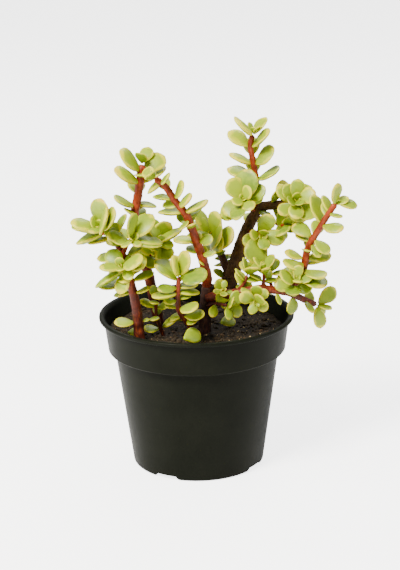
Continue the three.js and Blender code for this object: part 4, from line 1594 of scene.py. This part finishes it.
@dataclass
class Studio:
    """The camera, the plain pale floor and the soft light."""

    eye: Point = (0.0022, -1.0405, 0.4300)
    target: Point = (0.0022, 0.0, 0.1019)
    roll: float = -0.88
    lens: float = 125.0
    sensor: float = 36.0
    floor_size: float = 12.0
    world: float = 0.36
    softboxes: tuple[Softbox, ...] = (
        Softbox(
            "key_softbox", (-0.55, -0.75, 1.15), (0.0, 0.0, 0.12), (0.45, 0.45), 52.0, (1.0, 0.975, 0.88)),
        Softbox("left_strip", (-0.75, -0.10, 0.25), (0.0, 0.0, 0.06), (0.25, 0.8), 4.0),
        Softbox("right_strip", (0.75, -0.15, 0.25), (0.0, 0.0, 0.06), (0.25, 0.8), 3.0),
        Softbox("back_softbox", (0.2, 0.8, 0.9), (0.0, 0.0, 0.12), (0.9, 0.5), 9.0),
    )

    def camera(self) -> None:
        """Sets the camera up, turned a little about its own axis."""
        deselect()
        bpy.ops.object.camera_add(location=self.eye)
        camera = bpy.context.object
        camera.name = "camera"
        camera.data.lens, camera.data.sensor_width = self.lens, self.sensor
        camera.data.clip_start, camera.data.clip_end = 0.01, 50.0
        ahead = (Vector(self.target) - Vector(self.eye)).normalized()
        right = ahead.cross(UP).normalized()
        up = right.cross(ahead)
        angle = math.radians(self.roll)
        leaning = right * math.cos(angle) + up * math.sin(angle)
        upright = up * math.cos(angle) - right * math.sin(angle)
        camera.rotation_euler = Matrix((leaning, upright, -ahead)).transposed().to_euler()
        bpy.context.scene.camera = camera

    def floor(self) -> None:
        """Lays the floor: a wide plane with a faint, even tooth."""
        deselect()
        bpy.ops.mesh.primitive_plane_add(size=self.floor_size)
        floor = bpy.context.object
        floor.name = "studio_floor"
        skin = Skin("studio_floor")
        skin.set(Base_Color=skin.nodes.blend(
            skin.mottle(3.0, 1.0), (0.86, 0.86, 0.87, 1.0), (0.89, 0.89, 0.90, 1.0)))
        seen = skin.nodes.add("LightPath").outputs["Is Camera Ray"]
        glow = skin.nodes.math("ADD", 0.25, skin.nodes.math("MULTIPLY", seen, 3.2))
        skin.set(Emission_Color=(1.0, 1.0, 1.0, 1.0), Emission_Strength=glow)
        skin.grain(scale=60.0, roughness=0.85, wander=0.05, depth=0.0001)
        dress(floor, skin.material)

    def air(self) -> None:
        """Fills the studio with even, soft light."""
        world = bpy.data.worlds.new("studio_air")
        world.use_nodes = True
        background = world.node_tree.nodes["Background"]
        background.inputs["Color"].default_value = (1.0, 1.0, 1.0, 1.0)
        background.inputs["Strength"].default_value = self.world
        bpy.context.scene.world = world

    def build(self) -> None:
        """Sets everything up."""
        self.camera()
        self.floor()
        self.air()
        for softbox in self.softboxes:
            softbox.build()


BARK_SKINS: dict[Bark, bpy.types.Material] = {bark: finish.material() for bark, finish in BARKS.items()}


def main() -> None:
    """Builds the pot, the soil, the bush and the studio, in that order."""
    logging.basicConfig(level=logging.INFO, format="%(message)s")
    Pot().build()
    Soil().build()
    foliage = Foliage.prepared(seed=7)
    for index, fallen in enumerate(FALLEN_LEAVES, start=1):
        foliage.drop(fallen, index)
    for habit in HABITS:
        Shoot(habit, foliage).build()
    foliage.put_away()
    Studio().build()


if __name__ == "__main__":
    main()
